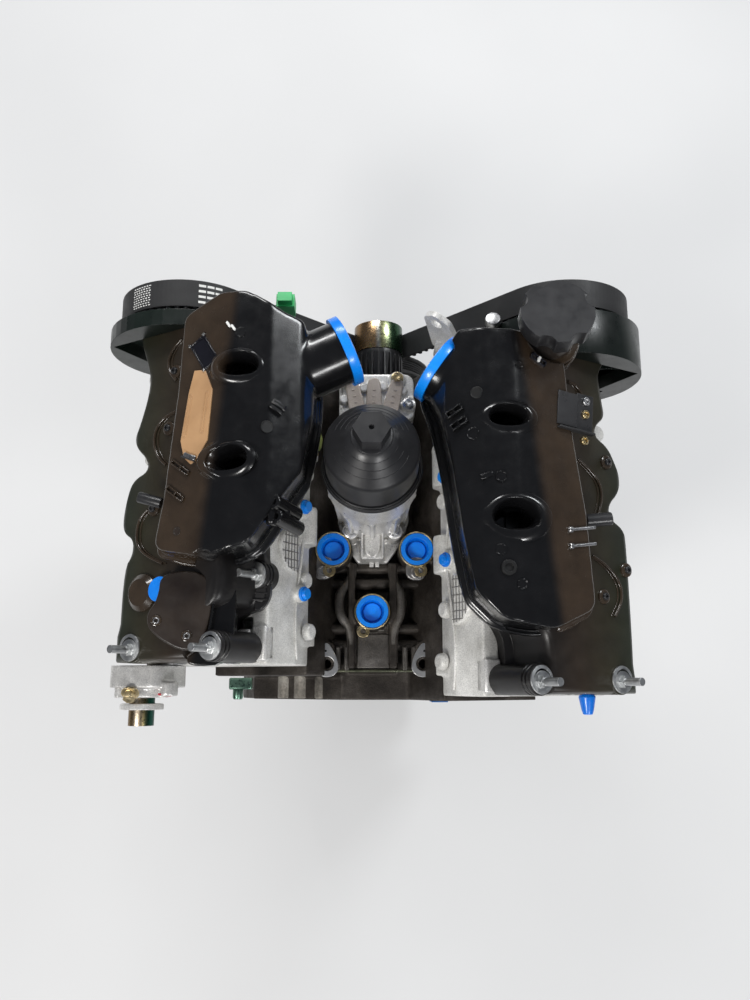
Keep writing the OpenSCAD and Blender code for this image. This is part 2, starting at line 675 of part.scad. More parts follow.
module filter_cap() black() at_filter() difference() {
    union() {
        rotate_extrude() polygon([
            [0, cap_rim_h], [cap_r + 3, cap_rim_h], [cap_r + 4, cap_rim_h + 2], [cap_r + 3, cap_rim_h + 5],
            [cap_r + 1, cap_rim_h + 6], [cap_r, cap_rim_h + 9], [cap_r, cap_edge_h - 4], [cap_r - 1, cap_edge_h - 1],
            [cap_r - 4, cap_edge_h + 2], [22, cap_top_h - 6], [17, cap_top_h - 3], [0, cap_top_h - 2]
        ]);
        translate([0, 0, cap_top_h - 6]) hexagon(cap_hex, hex_h + 6);
        translate([0, 0, cap_rim_h - 26]) cylinder(r = cap_r - 7 - run * 2, h = 27);
    }
    translate([0, 0, cap_rim_h - 27]) cylinder(r = cap_r - 11, h = cap_edge_h - cap_rim_h + 18);
    translate([0, 0, cap_top_h + hex_h - 3]) cylinder(r = 2.5, h = 4);
}

// Valley castings of the oil and coolant circuits
module oil_cooler() alloy() difference() {
    union() {
        for (k = [0:6]) box(-36, 30, 252, 286, 196 + clear + 3 * k, 198.2 + 3 * k);
        box(-34, 28, 254, 284, 196 + clear, 216);
    }
    at_filter() translate([0, 0, -20]) cylinder(r = 40 + clear, h = 140);
}

module coolant_manifold() alloy() difference() {
    union() {
        prism_z(round_poly([[-40, 290, 8], [-40, hub_y, 6], [41, hub_y, 6], [41, 290, 8]]), 196 + clear, 256);
        prism_z(round_poly([[-36, 296, 8], [-34, hub_y - 2, 10], [42, hub_y - 2, 10], [42, 296, 8]]), 250, 284);
        for (p = [[-22, 12], [-1, 0], [20, -14]]) translate([p[0], 320, 282]) rotate([0, 0, p[1]])
            prism_z(round_poly([[-8, -20, 7], [-6, 20, 6], [6, 20, 6], [8, -20, 7]]), 0, 9);
        for (p = manifold_bolts) zcyl(8, p[0], p[1], 230, 290);
    }
    for (p = manifold_bolts) zcyl(3.3, p[0], p[1], 270, 291);
    at_filter() cylinder(r = cap_r + 7, h = 300);
}

module port_collars() color([0.78, 0.7, 0.5]) for (p = ports) translate([p[0], p[1], p[2]]) difference() {
    union() {
        cylinder(r = port_r + collar_w, h = 6);
        rotate([0, 0, p[0] > 0 ? -80 : p[0] < -40 ? -100 : -115]) {
            translate([port_r + 7, 0, 0]) cylinder(r = 7, h = 5);
        }
    }
    translate([0, 0, -1]) cylinder(r = port_r - 1, h = 8);
    rotate([0, 0, p[0] > 0 ? -80 : p[0] < -40 ? -100 : -115]) translate([port_r + 7, 0, -1]) cylinder(r = 3, h = 7);
}

drillings = [[-1, 197], [-1, 107], [1, 229], [1, 142], [-1, 275]];
module at_drilling(d) bank(d[0]) translate([-head_in - 6, d[1] - side_shift(d[0]), head_w + 42])
    rotate([0, -90, 0]) children();

module transport_plugs() blue() {
    for (p = ports) translate([p[0], p[1], p[2] + 6]) rotate_extrude() polygon([
        [0, -16], [port_r - 4, -16], [port_r - 3, -14], [port_r - 1 - clear, 0], [port_r + 1, 0], [port_r + 1, 1.6],
        [port_r - 3.5, 1.6], [port_r - 5.5, -12], [0, -12]
    ]);
    for (d = drillings) at_drilling(d) {
        cylinder(r = 5.5, h = 6);
        cylinder(r = 7.5, h = 2.4);
    }
}

module temperature_sensor() {
    color([0.1, 0.75, 0.3]) translate([-89, 386, 352]) rotate([-8, 0, 0]) {
        box(-9, 9, -6, 8, 8, 26);
        box(-7, 7, -4, 6, 26, 33);
    }
    color([0.35, 0.35, 0.32]) translate([-89, 386, 352]) rotate([-8, 0, 0]) translate([0, 0, -24]) cylinder(r = 7, h = 33);
}

module lifting_bracket() steel() difference() {
    union() {
        translate([70, 372, 330]) rotate([0, -20, -30]) translate([-12, -3, -6])
            rotate([90, 0, 0]) translate([0, 0, -6]) linear_extrude(6)
            polygon(round_poly([[-4, -16, 3], [2, 44, 8], [16, 52, 8], [30, 40, 8], [34, -16, 3]]));
        translate([74, 366, 296]) cylinder(r = 11, h = 26);
        translate([92, 364, 296]) cylinder(r = 9, h = 36);
        box(84, 100, head_y1, 364, 298, 328);
    }
    translate([70, 372, 330]) rotate([0, -20, -30]) translate([2, 20, 30]) rotate([90, 0, 0]) cylinder(r = 7, h = 60);
}

// Front cover, timing plates and the hub that carries the centre idler
module front_cover() alloy() difference() {
    union() {
        prism_y(round_poly(mirrored([[rail_x, rail_z, 6], [rail_x, 50, 20], [wheel_x + 12, 96, 14], [wheel_x + 12, 134, 14],
            [150, 176, 16], [120, 176, 16], [44, 160, 20]])), block_l, block_l + 10);
        ycyl(52, block_l, block_l + 16);
        for (s = sides) ycyl(20, block_l, plate_y, s * wheel_x, wheel_z);
        ycyl(5, block_l, belt_y0 - 3 - clear, arm_pivot[0], arm_pivot[1]);
    }
    ycyl(snout_r + run, block_l - 1, block_l + 20);
    ycyl(10, block_l + 2, belt_y0, wheel_x, wheel_z);
}

module timing_plate(s) black() difference() {
    union() {
        ycyl(cam_pr + 12, head_y1 + side_shift(s) - 14, plate_y, s * cam_x, cam_z);
        prism_y(round_poly([[s * 172, 96, 10], [s * 264, 236, 14], [s * 200, 262, 14], [s * 124, 150, 10]]),
            block_l + 10, plate_y);
    }
    difference() {
        ycyl(cam_pr + 8, head_y1 + side_shift(s) + clear / 2, plate_y - 3, s * cam_x, cam_z);
        for (a = [0:30:359]) translate([s * cam_x, 0, cam_z]) rotate([0, a, 0])
            box(journal_r + 6, cam_pr + 10, head_y1, belt_y0, -1.6, 1.6);
    }
    ycyl(journal_r - 2, 300, belt_y0, s * cam_x, cam_z);
    bank(s) {
        box(-head_in - clear, head_out + 9, 0, head_y1 + clear, head_w - 10, cam_w + clear);
        box(-head_in - clear, head_out, 0, head_y1 + clear, cam_w - 1, cover_w + clear);
    }
    ycyl(24, block_l, belt_y0, s * wheel_x, wheel_z);
    if (s > 0) filler_axis() translate([0, 0, -30]) cylinder(r = 27 + clear, h = 90);
}

module idler_hub() black() difference() {
    union() {
        translate([idler_x, hub_y + clear, idler_z]) rotate([-90, 0, 0]) cylinder(r1 = idler_r - 6, r2 = idler_r - 1, h = belt_y0 - 1 - clear - hub_y - clear);
        for (k = [0:23]) translate([idler_x, hub_y + clear, idler_z]) rotate([0, 15 * k, 0])
            box(idler_r - 9, idler_r, 4, belt_y0 - hub_y - 6, -1, 1);
        ycyl(8, hub_y + clear, belt_y1 - 4, idler_x, idler_z);
    }
    box(-60, 60, 300, block_l + 10 + clear, 150, 196 + clear);
}

// Timing belt path: wheels are listed the way the belt runs, a negative radius is run by its back
function d_of(i) = let(a = wheels[i], b = wheels[(i + 1) % 6], d = [b[0] - a[0], b[1] - a[1]])
    atan2(d[1], d[0]) - asin((b[2] - a[2]) / norm(d));
function turn(i) = let(t = (d_of(i) - d_of((i + 5) % 6)) % 360, r = wheels[i][2])
    r > 0 ? (t < 0 ? t + 360 : t) : (t > 0 ? t - 360 : t);
function arc_l(i) = wheels[i][2] * turn(i) * PI / 180;
function run_l(i) = let(a = wheels[i], b = wheels[(i + 1) % 6])
    sqrt(pow(b[0] - a[0], 2) + pow(b[1] - a[1], 2) - pow(b[2] - a[2], 2));
function start_l(i) = i == 0 ? 0 : start_l(i - 1) + arc_l(i - 1) + run_l(i - 1);
starts = [for (i = [0:6]) start_l(i)];
belt_l = starts[6];
belt_teeth = round(belt_l / tooth_pitch);
belt_step = belt_l / belt_teeth;
function wheel_at(l) = [for (i = [0:5]) if (l >= starts[i] && l < starts[i + 1]) i][0];
function off(c, r, f, e) = [c[0], c[1]] + (r + e) * [sin(f), -cos(f)];
function belt_at(l0, e) = let(
    l = l0 < 0 ? l0 + belt_l : l0 >= belt_l ? l0 - belt_l : l0,
    i = wheel_at(l), w = wheels[i], r = w[2], t = l - starts[i], f0 = d_of((i + 5) % 6)
) t < arc_l(i) ? off(w, r, f0 + t / r * 180 / PI, e)
    : off(w, r, d_of(i), e) + (t - arc_l(i)) * [cos(d_of(i)), sin(d_of(i))];
function groove_angle(i) = let(m = starts[i] + arc_l(i) / 2, k = round(m / belt_step))
    d_of((i + 5) % 6) - 90 + (k * belt_step - starts[i]) / wheels[i][2] * 180 / PI;

module timing_belt() rubber() difference() {
    prism_y([for (k = [0:2 * belt_teeth - 1]) belt_at(k * belt_step / 2, belt_back)], belt_y0 + 0.5, belt_y1 - 0.5);
    prism_y([for (k = [0:belt_teeth - 1]) for (p = [[-2.4, -belt_face], [-1.5, -belt_face - tooth_h],
        [1.5, -belt_face - tooth_h], [2.4, -belt_face]]) belt_at(k * belt_step + p[0], p[1])],
        belt_y0 - 1, belt_y1 + 1);
}

module toothed_wheel(i, n) {
    r = wheels[i][2];
    step = 360 / n;
    tip = r - belt_face - 0.2;
    root = tip - tooth_h - 0.4;
    wide = 3.0 / r * 180 / PI;
    deep = 2.2 / r * 180 / PI;
    prism_y([for (k = [0:n - 1]) let(a = groove_angle(i) + k * step) for (p = [[-step / 2, tip], [-wide, tip],
        [-deep, root], [deep, root], [wide, tip]])
        [wheels[i][0], wheels[i][1]] + p[1] * [cos(a + p[0]), sin(a + p[0])]], belt_y0, belt_y1);
}

module cam_sprocket(i, s) steel() difference() {
    union() {
        toothed_wheel(i, cam_teeth);
        ycyl(20, belt_y0 - 2, belt_y1 + 2, s * cam_x, cam_z);
    }
    ycyl(journal_r - 3 + 0.01, belt_y0 - 3, belt_y1 + 8, s * cam_x, cam_z);
    for (y = [[belt_y0 - 1, belt_y0 + 10], [belt_y1 - 10, belt_y1 + 1]]) difference() {
        ycyl(cam_pr - 12, y[0], y[1], s * cam_x, cam_z);
        ycyl(20, y[0] - 1, y[1] + 1, s * cam_x, cam_z);
    }
    for (k = [0:5]) translate([s * cam_x, 0, cam_z]) rotate([0, 60 * k, 0])
        ycyl(12, belt_y0 - 1, belt_y1 + 1, 0, cam_pr - 29);
}

module crank_sprocket() steel() difference() {
    union() {
        toothed_wheel(0, crank_teeth);
        for (y = [belt_y0 - 2.5, belt_y1]) ycyl(crank_pr + 4, y, y + 2.5);
    }
    ycyl(snout_r + run, belt_y0 - 10, belt_y1 + 10);
}

// Smooth wheels: the centre idler, the tensioner and the coolant pump wheel
module smooth_wheel(r, bore, x, z, rims) difference() {
    union() {
        ycyl(r, belt_y0 - 1, belt_y1 + 1, x, z);
        if (rims) for (y = [belt_y0 - 3, belt_y1 + 1]) ycyl(r + 2, y, y + 2, x, z);
    }
    ycyl(bore, belt_y0 - 5, belt_y1 + 5, x, z);
    for (y = [[belt_y0 - 4, belt_y0 + 9], [belt_y1 - 9, belt_y1 + 4]]) difference() {
        ycyl(r - 5, y[0], y[1], x, z);
        ycyl(bore + 8, y[0] - 1, y[1] + 1, x, z);
    }
}
module idler_pulley() steel() smooth_wheel(idler_r, 8 + run, idler_x, idler_z, false);
module tensioner_pulley() steel() smooth_wheel(wheel_r, 8 + run, -wheel_x, wheel_z, true);

arm_pivot = [-wheel_x + 20, wheel_z - 16];
module tensioner_arm() alloy() {
    difference() {
        prism_y(round_poly([[arm_pivot[0] - 14, arm_pivot[1] - 22, 12], [arm_pivot[0] + 18, arm_pivot[1] - 12, 12],
            [-wheel_x + 14, wheel_z + 18, 12], [-wheel_x - 20, wheel_z + 8, 12]]), plate_y + clear, belt_y0 - 3 - clear);
        ycyl(5 + run, belt_y0 - 10, belt_y0 + 10, arm_pivot[0], arm_pivot[1]);
    }
    ycyl(8, belt_y0 - 4, belt_y1 + 3, -wheel_x, wheel_z);
}

module coolant_pump_wheel() steel() {
    smooth_wheel(wheel_r, 4, wheel_x, wheel_z, true);
    ycyl(10 - run, block_l + 3, belt_y1 - 6, wheel_x, wheel_z);
}

// Rotating pieces on the crankshaft
module crank_damper() color([0.12, 0.12, 0.13]) difference() {
    r = damper_d / 2;
    translate([0, belt_y1 + 5, 0]) rotate([-90, 0, 0]) rotate_extrude() difference() {
        polygon([[0, 0], [r - 6, 0], [r - 4, 2], [r, 3], [r, 6], [r - 3, 8], [r - 3, 24], [r, 26], [r, 28],
            [r - 12, 28], [r - 14, 12], [42, 12], [36, 33], [0, 33]]);
        for (k = [0:4]) translate([r - 3, 9 + 3.2 * k]) polygon([[0.5, 0], [-2.4, 1.1], [-2.4, 1.7], [0.5, 2.8]]);
    }
    ycyl(snout_r + run, belt_y1, snout_y + clear);
    ycyl(8, belt_y1, belt_y1 + 60);
    for (k = [0:4]) rotate([0, 72 * k, 0]) ycyl(9, belt_y1, belt_y1 + 60, 0, 52);
}

module crank_flange() steel() difference() {
    ycyl(flange_r, -2, flange_y);
    ycyl(pilot_d / 2, -3, flange_y + 1);
    for (k = [0:5]) rotate([0, 60 * k, 0]) ycyl(5, -3, flange_y + 1, 0, flange_bolt_r);
}

// Sump
module sump_shape(d, z0) {
    w = rail_x - d;
    prism_y(round_poly([[-w, rail_z - 8 + d, 0], [-w + 6, d - 150, 20], [-w + 34, d - 165, 14],
        [w - 34, d - 165, 14], [w - 6, d - 150, 20], [w, rail_z - 8 + d, 0]]), 16 + d, block_l - 14 - d);
    prism_y(round_poly([[-w + 8, -130, 0], [-w + 14, z0, 16], [w - 14, z0, 16], [w - 8, -130, 0]]), 120 + d, 310 - d);
}
module oil_sump() iron() difference() {
    union() {
        box(-rail_x - 10, rail_x + 10, 0, block_l, rail_z - 8, rail_z);
        sump_shape(0, sump_z);
        translate([60, 310, -200]) rotate([-90, 0, 0]) cylinder(r = 14, h = 4);
        translate([60, 312, -200]) rotate([-90, 0, 0]) hexagon(19, 10);
    }
    sump_shape(4, sump_z + 4);
    box(-rail_x + 16, rail_x - 16, wall, block_l - wall, rail_z - 9, rail_z + 1);
}

// Drive at the rear of the left head
pump_at = [-cam_x - 37.955, cam_z - 19.952];
module rear_pump() alloy() difference() {
    union() {
        prism_y(round_poly([for (p = [[-28, -26, 10], [-28, 28, 12], [26, 44, 12], [44, 0, 12], [34, -34, 10]])
            [p[0] + pump_at[0], p[1] + pump_at[1], p[2]]]),
            head_y0 + bank_shift - 22, head_y0 + bank_shift);
        ycyl(24, 4, 24, pump_at[0], pump_at[1]);
        ycyl(9, 6, 20, -206, 292);
    }
    ycyl(13, -10, head_y0 + bank_shift + 1, pump_at[0], pump_at[1]);
}
module rear_pump_shaft() color([0.8, 0.72, 0.5]) ycyl(13 - run, -24, head_y0 + bank_shift - 2, pump_at[0], pump_at[1]);

module piston_right_1() piston(1, 0);
module piston_right_2() piston(1, 1);
module piston_right_3() piston(1, 2);
module piston_left_1() piston(-1, 0);
module piston_left_2() piston(-1, 1);
module piston_left_3() piston(-1, 2);
module connecting_rod_right_1() connecting_rod(1, 0);
module connecting_rod_right_2() connecting_rod(1, 1);
module connecting_rod_right_3() connecting_rod(1, 2);
module connecting_rod_left_1() connecting_rod(-1, 0);
module connecting_rod_left_2() connecting_rod(-1, 1);
module connecting_rod_left_3() connecting_rod(-1, 2);
module cylinder_head_left() cylinder_head(-1);
module cylinder_head_right() cylinder_head(1);
module camshaft_exhaust_left() camshaft(-1, 1);
module camshaft_intake_left() camshaft(-1, -1);
module camshaft_exhaust_right() camshaft(1, 1);
module camshaft_intake_right() camshaft(1, -1);
module cam_cover_left() cam_cover(-1);
module cam_cover_right() cam_cover(1);
module intake_plenum_left() intake_plenum(-1, left_outline, left_funnels, left_neck, 60);
module intake_plenum_right() intake_plenum(1, right_outline, right_funnels, right_neck, 45);
module intake_plug_left() intake_plug(left_neck);
module intake_plug_right() intake_plug(right_neck);
module timing_plate_left() timing_plate(-1);
module timing_plate_right() timing_plate(1);
module cam_sprocket_left() cam_sprocket(4, -1);
module cam_sprocket_right() cam_sprocket(2, 1);

cylinder_block();
main_bearing_caps();
crankshaft();
piston_right_1();
piston_right_2();
piston_right_3();
piston_left_1();
piston_left_2();
piston_left_3();
connecting_rod_right_1();
connecting_rod_right_2();
connecting_rod_right_3();
connecting_rod_left_1();
connecting_rod_left_2();
connecting_rod_left_3();
wrist_pins();
head_gaskets();
cylinder_head_left();
cylinder_head_right();
valves();
rocker_fingers();
camshaft_exhaust_left();
camshaft_intake_left();
camshaft_exhaust_right();
camshaft_intake_right();
cam_cover_left();
cam_cover_right();
cover_studs();
intake_plenum_left();
intake_plenum_right();
intake_plug_left();
intake_plug_right();
oil_filler_neck();
oil_filler_cap();
oil_filter_housing();
filter_element();
filter_cap();
oil_cooler();
coolant_manifold();
port_collars();
transport_plugs();
temperature_sensor();
lifting_bracket();
front_cover();
timing_plate_left();
timing_plate_right();
idler_hub();
timing_belt();
cam_sprocket_left();
cam_sprocket_right();
crank_sprocket();
idler_pulley();
tensioner_arm();
tensioner_pulley();
coolant_pump_wheel();
crank_damper();
crank_flange();
oil_sump();
rear_pump();
rear_pump_shaft();
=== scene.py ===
"""Looks of a bare V6 diesel engine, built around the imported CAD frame.

Lengths in the helpers are in millimetres, in the row frame; MM turns them into metres.
"""
import math

import bmesh
import bpy
from mathutils import Matrix, Vector


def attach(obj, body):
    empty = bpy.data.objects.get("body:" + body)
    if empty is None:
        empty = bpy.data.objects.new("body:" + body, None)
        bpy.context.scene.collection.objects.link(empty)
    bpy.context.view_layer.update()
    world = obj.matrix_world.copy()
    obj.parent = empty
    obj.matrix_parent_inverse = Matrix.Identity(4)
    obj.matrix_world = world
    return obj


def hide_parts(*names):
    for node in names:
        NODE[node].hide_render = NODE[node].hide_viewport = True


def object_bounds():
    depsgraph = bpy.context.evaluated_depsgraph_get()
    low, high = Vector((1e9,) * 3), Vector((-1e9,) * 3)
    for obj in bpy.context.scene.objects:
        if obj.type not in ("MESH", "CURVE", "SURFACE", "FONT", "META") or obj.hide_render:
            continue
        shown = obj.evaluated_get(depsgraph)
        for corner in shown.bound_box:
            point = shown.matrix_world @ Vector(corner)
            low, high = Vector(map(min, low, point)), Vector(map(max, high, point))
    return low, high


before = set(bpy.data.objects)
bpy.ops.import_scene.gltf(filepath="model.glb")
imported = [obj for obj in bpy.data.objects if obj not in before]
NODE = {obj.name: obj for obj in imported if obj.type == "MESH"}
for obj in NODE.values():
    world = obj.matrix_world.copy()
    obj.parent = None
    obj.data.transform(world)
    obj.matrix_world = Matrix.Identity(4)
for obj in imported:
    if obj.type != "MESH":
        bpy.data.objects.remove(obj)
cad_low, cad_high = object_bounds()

MM = 0.001
ROOT = "engine"


# Materials
def opaque(colour):
    """A colour or a plain grey value as RGBA."""
    return (*colour, 1) if isinstance(colour, tuple) else (colour, colour, colour, 1)


class Mat:
    """A Principled material whose nodes are added by short calls."""

    def __init__(self, name, rough=0.5, metal=0.0, **sockets):
        self.mat = bpy.data.materials.new(name)
        self.mat.use_nodes = True
        self.tree = self.mat.node_tree
        self.bsdf = self.tree.nodes["Principled BSDF"]
        self.bsdf.inputs["Roughness"].default_value = rough
        self.bsdf.inputs["Metallic"].default_value = metal
        for key, value in sockets.items():
            self.bsdf.inputs[key.replace("_", " ")].default_value = value
        self.coord = self.add("TexCoord").outputs["Object"]
        self.height = None
        self.slot = None

    def add(self, kind, **values):
        node = self.tree.nodes.new("ShaderNode" + kind)
        for key, value in values.items():
            if hasattr(node, key):
                setattr(node, key, value)
            else:
                node.inputs[key.replace("_", " ")].default_value = value
        return node

    def link(self, a, b):
        self.tree.links.new(a, b)

    def noise(self, scale, detail=4.0, rough=0.55, stretch=None):
        node = self.add("TexNoise", Scale=scale, Detail=detail, Roughness=rough)
        source = self.coord
        if stretch:
            squeeze = self.add("Mapping")
            squeeze.inputs["Scale"].default_value = stretch
            self.link(self.coord, squeeze.inputs["Vector"])
            source = squeeze.outputs["Vector"]
        self.link(source, node.inputs["Vector"])
        return node.outputs["Fac"]

    def ramp(self, fac, *stops):
        node = self.add("ValToRGB")
        marks = node.color_ramp.elements
        while len(marks) < len(stops):
            marks.new(0.5)
        for mark, (where, colour) in zip(marks, stops):
            mark.position = where
            mark.color = opaque(colour)
        self.link(fac, node.inputs["Fac"])
        return node.outputs["Color"]

    def mix(self, a, b, fac, mode="MIX"):
        node = self.add("MixRGB", blend_type=mode)
        for value, key in ((fac, "Fac"), (a, "Color1"), (b, "Color2")):
            if isinstance(value, bpy.types.NodeSocket):
                self.link(value, node.inputs[key])
            else:
                node.inputs[key].default_value = value if key == "Fac" else opaque(value)
        return node.outputs["Color"]

    def maths(self, operation, *terms):
        """A math node; each term is a number or another node's output."""
        node = self.add("Math", operation=operation)
        for term, socket in zip(terms, node.inputs):
            if isinstance(term, bpy.types.NodeSocket):
                self.link(term, socket)
            else:
                socket.default_value = term
        return node.outputs[0]

    def axes(self):
        split = self.add("SeparateXYZ")
        self.link(self.coord, split.inputs[0])
        return split.outputs

    def away(self, slant):
        """Distance from the middle plane in metres; with a slant it grows towards the front."""
        x, y, _ = self.axes()
        return self.maths("MULTIPLY_ADD", y, slant, self.maths("ABSOLUTE", x))

    def bands(self, *stops):
        """Colour bands across the object, along X in metres; a stop of 0.5 is the middle plane. They paint
        reflection streaks across round parts.
        """
        self.colour(self.ramp(self.maths("ADD", self.axes()[0], 0.5), *stops))

    def wear(self, low=0.52, high=0.62):
        """White on the raised edges of the mesh."""
        return self.ramp(self.add("NewGeometry").outputs["Pointiness"], (low, 0.0), (high, 1.0))

    def colour(self, value):
        self.link(value, self.bsdf.inputs["Base Color"])

    def roughness(self, fac, low, high):
        self.link(self.ramp(fac, (0.3, low), (0.7, high)), self.bsdf.inputs["Roughness"])

    def bump(self, fac, depth_mm, strength):
        node = self.add("Bump", Strength=strength, Distance=depth_mm * MM)
        self.link(fac, node.inputs["Height"])
        if self.height:
            self.link(self.height, node.inputs["Normal"])
        else:
            edge = self.add("Bevel", samples=4, Radius=0.6 * MM)
            self.link(edge.outputs["Normal"], node.inputs["Normal"])
        self.height = node.outputs["Normal"]
        self.link(self.height, self.bsdf.inputs["Normal"])


def cast_metal(name, dark, mid, light, rough, metal, grain, depth):
    """A rough casting: broad patches from dark to light, a fine speckle, and two sizes of bump."""
    m = Mat(name, rough, metal)
    patches = m.noise(28, 6, 0.6)
    speckle = m.noise(grain, 3, 0.7)
    base = m.ramp(patches, (0.3, dark), (0.5, mid), (0.72, light))
    base = m.mix(base, m.ramp(speckle, (0.35, 0.55), (0.62, 1.25)), 0.55, "MULTIPLY")
    m.colour(base)
    m.roughness(m.noise(120, 4), rough - 0.1, rough + 0.14)
    m.bump(speckle, depth, 0.55)
    m.bump(m.noise(90, 5), depth * 0.8, 0.5)
    return m


def plastic(name, dark, light, rough, grain=1500, depth=0.04, coat=0.0):
    """Moulded plastic, rubber or paint, paler on worn edges, with a fine grain and a slow wave."""
    m = Mat(name, rough, Coat_Weight=coat)
    m.colour(m.mix(m.ramp(m.noise(16, 5), (0.35, dark), (0.7, light)), light, m.wear(0.53, 0.7)))
    m.roughness(m.noise(70, 5, 0.65), rough - 0.05, rough + 0.09)
    m.bump(m.noise(grain, 2, 0.5), depth, 0.5)
    m.bump(m.noise(22, 2, 0.4), depth * 9, 0.25)
    return m


def tint(m, slant, *stops):
    """Colours a plastic by its distance from the middle plane."""
    base = m.ramp(m.away(slant), *stops)
    m.colour(m.mix(base, m.ramp(m.noise(45, 5), (0.3, 0.72), (0.7, 1.3)), 0.7, "MULTIPLY"))


def metal(name, dark, light, rough, stretch=(1, 1, 1), grain=400, depth=0.03):
    """Plated or machined metal, with tool lines where the noise is stretched."""
    m = Mat(name, rough, 1.0)
    lines = m.noise(grain, 3, 0.6, stretch)
    base = m.ramp(m.noise(40, 5), (0.3, dark), (0.7, light))
    m.colour(m.mix(base, m.ramp(lines, (0.3, 0.82), (0.7, 1.1)), 0.6, "MULTIPLY"))
    m.roughness(lines, rough - 0.06, rough + 0.1)
    m.bump(lines, depth, 0.4)
    return m


IRON = cast_metal("cast_iron_dark", (0.022, 0.018, 0.015), (0.045, 0.038, 0.032), (0.1, 0.088, 0.078),
                  0.46, 0.55, 620, 0.7)
IRON_WORN = cast_metal("cast_iron_light", (0.06, 0.055, 0.05), (0.12, 0.11, 0.1), (0.26, 0.245, 0.23),
                       0.42, 0.6, 640, 0.6)
OLIVE_IRON = cast_metal("olive_iron", (0.05, 0.055, 0.035), (0.1, 0.105, 0.07), (0.2, 0.2, 0.14),
                        0.34, 0.6, 600, 0.2)
SPECK = cast_metal("blasted_iron", (0.09, 0.082, 0.07), (0.24, 0.22, 0.19), (0.5, 0.47, 0.42),
                   0.42, 0.4, 420, 0.9)
SUMP = cast_metal("painted_iron", 0.018, 0.03, (0.05, 0.05, 0.052), 0.5, 0.2, 700, 0.35)
ALLOY = cast_metal("cast_alloy", (0.5, 0.49, 0.46), (0.68, 0.67, 0.64), (0.84, 0.83, 0.8),
                   0.42, 0.2, 800, 0.35)
BRIGHT_CAST = cast_metal("bright_alloy", (0.54, 0.53, 0.51), (0.72, 0.71, 0.69), (0.88, 0.87, 0.85),
                         0.34, 0.5, 900, 0.2)
TAUPE = cast_metal("painted_pad", (0.3, 0.25, 0.22), (0.38, 0.33, 0.29), (0.46, 0.41, 0.37),
                   0.42, 0.2, 900, 0.15)

COVER = plastic("moulded_black", (0.008, 0.008, 0.009), (0.02, 0.02, 0.022), 0.34, 1700, 0.05)
tint(COVER, 0.0, (0.0, (0.008, 0.008, 0.009)), (0.15, (0.01, 0.009, 0.009)), (0.19, (0.026, 0.018, 0.012)),
     (0.228, (0.022, 0.02, 0.011)), (0.262, (0.009, 0.016, 0.009)))
GLOSS = plastic("glossy_black", (0.004, 0.004, 0.005), (0.01, 0.01, 0.012), 0.2, 1200, 0.012, 0.25)
tint(GLOSS, 0.12, (0.0, (0.004, 0.004, 0.0045)), (0.17, (0.005, 0.005, 0.0055)), (0.178, (0.03, 0.02, 0.013)),
     (0.25, (0.036, 0.025, 0.016)))
BROWN = plastic("brown_black", (0.014, 0.009, 0.007), (0.035, 0.026, 0.02), 0.34)
GUARD = plastic("timing_guard", (0.004, 0.006, 0.005), (0.009, 0.015, 0.012), 0.3)
CAP = plastic("satin_cap", (0.01, 0.01, 0.011), (0.022, 0.022, 0.024), 0.34, 1600, 0.03)
RUBBER = plastic("belt_rubber", 0.01, (0.024, 0.024, 0.025), 0.55, 2200, 0.08)
BLACK_STEEL = plastic("black_steel", (0.012, 0.012, 0.013), (0.04, 0.04, 0.042), 0.3, 1200, 0.02)
BLACK_GLASS = plastic("black_insert", (0.004, 0.004, 0.006), (0.012, 0.012, 0.018), 0.16, 900, 0.01)
# Near black and matte: painted shade standing in for the depth of recesses and holes
RECESS_SHADE = plastic("painted_recess_shade", 0.002, 0.004, 0.5, 900, 0.02)
BLUE = plastic("blue_plug", (0.0, 0.16, 0.72), (0.005, 0.28, 0.92), 0.26, 900, 0.01, 0.2)
BLUE_DEEP = plastic("blue_cup", (0.0, 0.2, 0.8), (0.01, 0.32, 0.98), 0.3, 900, 0.01)
BLUE_TAG = plastic("tag_blue", (0.01, 0.08, 0.3), (0.02, 0.16, 0.5), 0.4)
COPPER = plastic("tan_plate", (0.34, 0.19, 0.09), (0.5, 0.3, 0.15), 0.38, 700, 0.03)
PAPER = plastic("filter_paper", (0.6, 0.52, 0.34), (0.74, 0.66, 0.46), 0.8, 600, 0.2)
GREEN = plastic("green_connector", (0.02, 0.36, 0.1), (0.06, 0.62, 0.2), 0.4)
OLIVE = plastic("olive_cap", (0.16, 0.19, 0.05), (0.3, 0.34, 0.1), 0.38)
# White print on the belt and the tag; also white blocks painted on clips as their highlights
WHITE_PRINT_AND_HIGHLIGHT = plastic("white_print_and_highlight", (0.62, 0.62, 0.6), (0.78, 0.78, 0.76), 0.5)
RED = plastic("paint_red", (0.4, 0.005, 0.02), (0.62, 0.01, 0.03), 0.35)

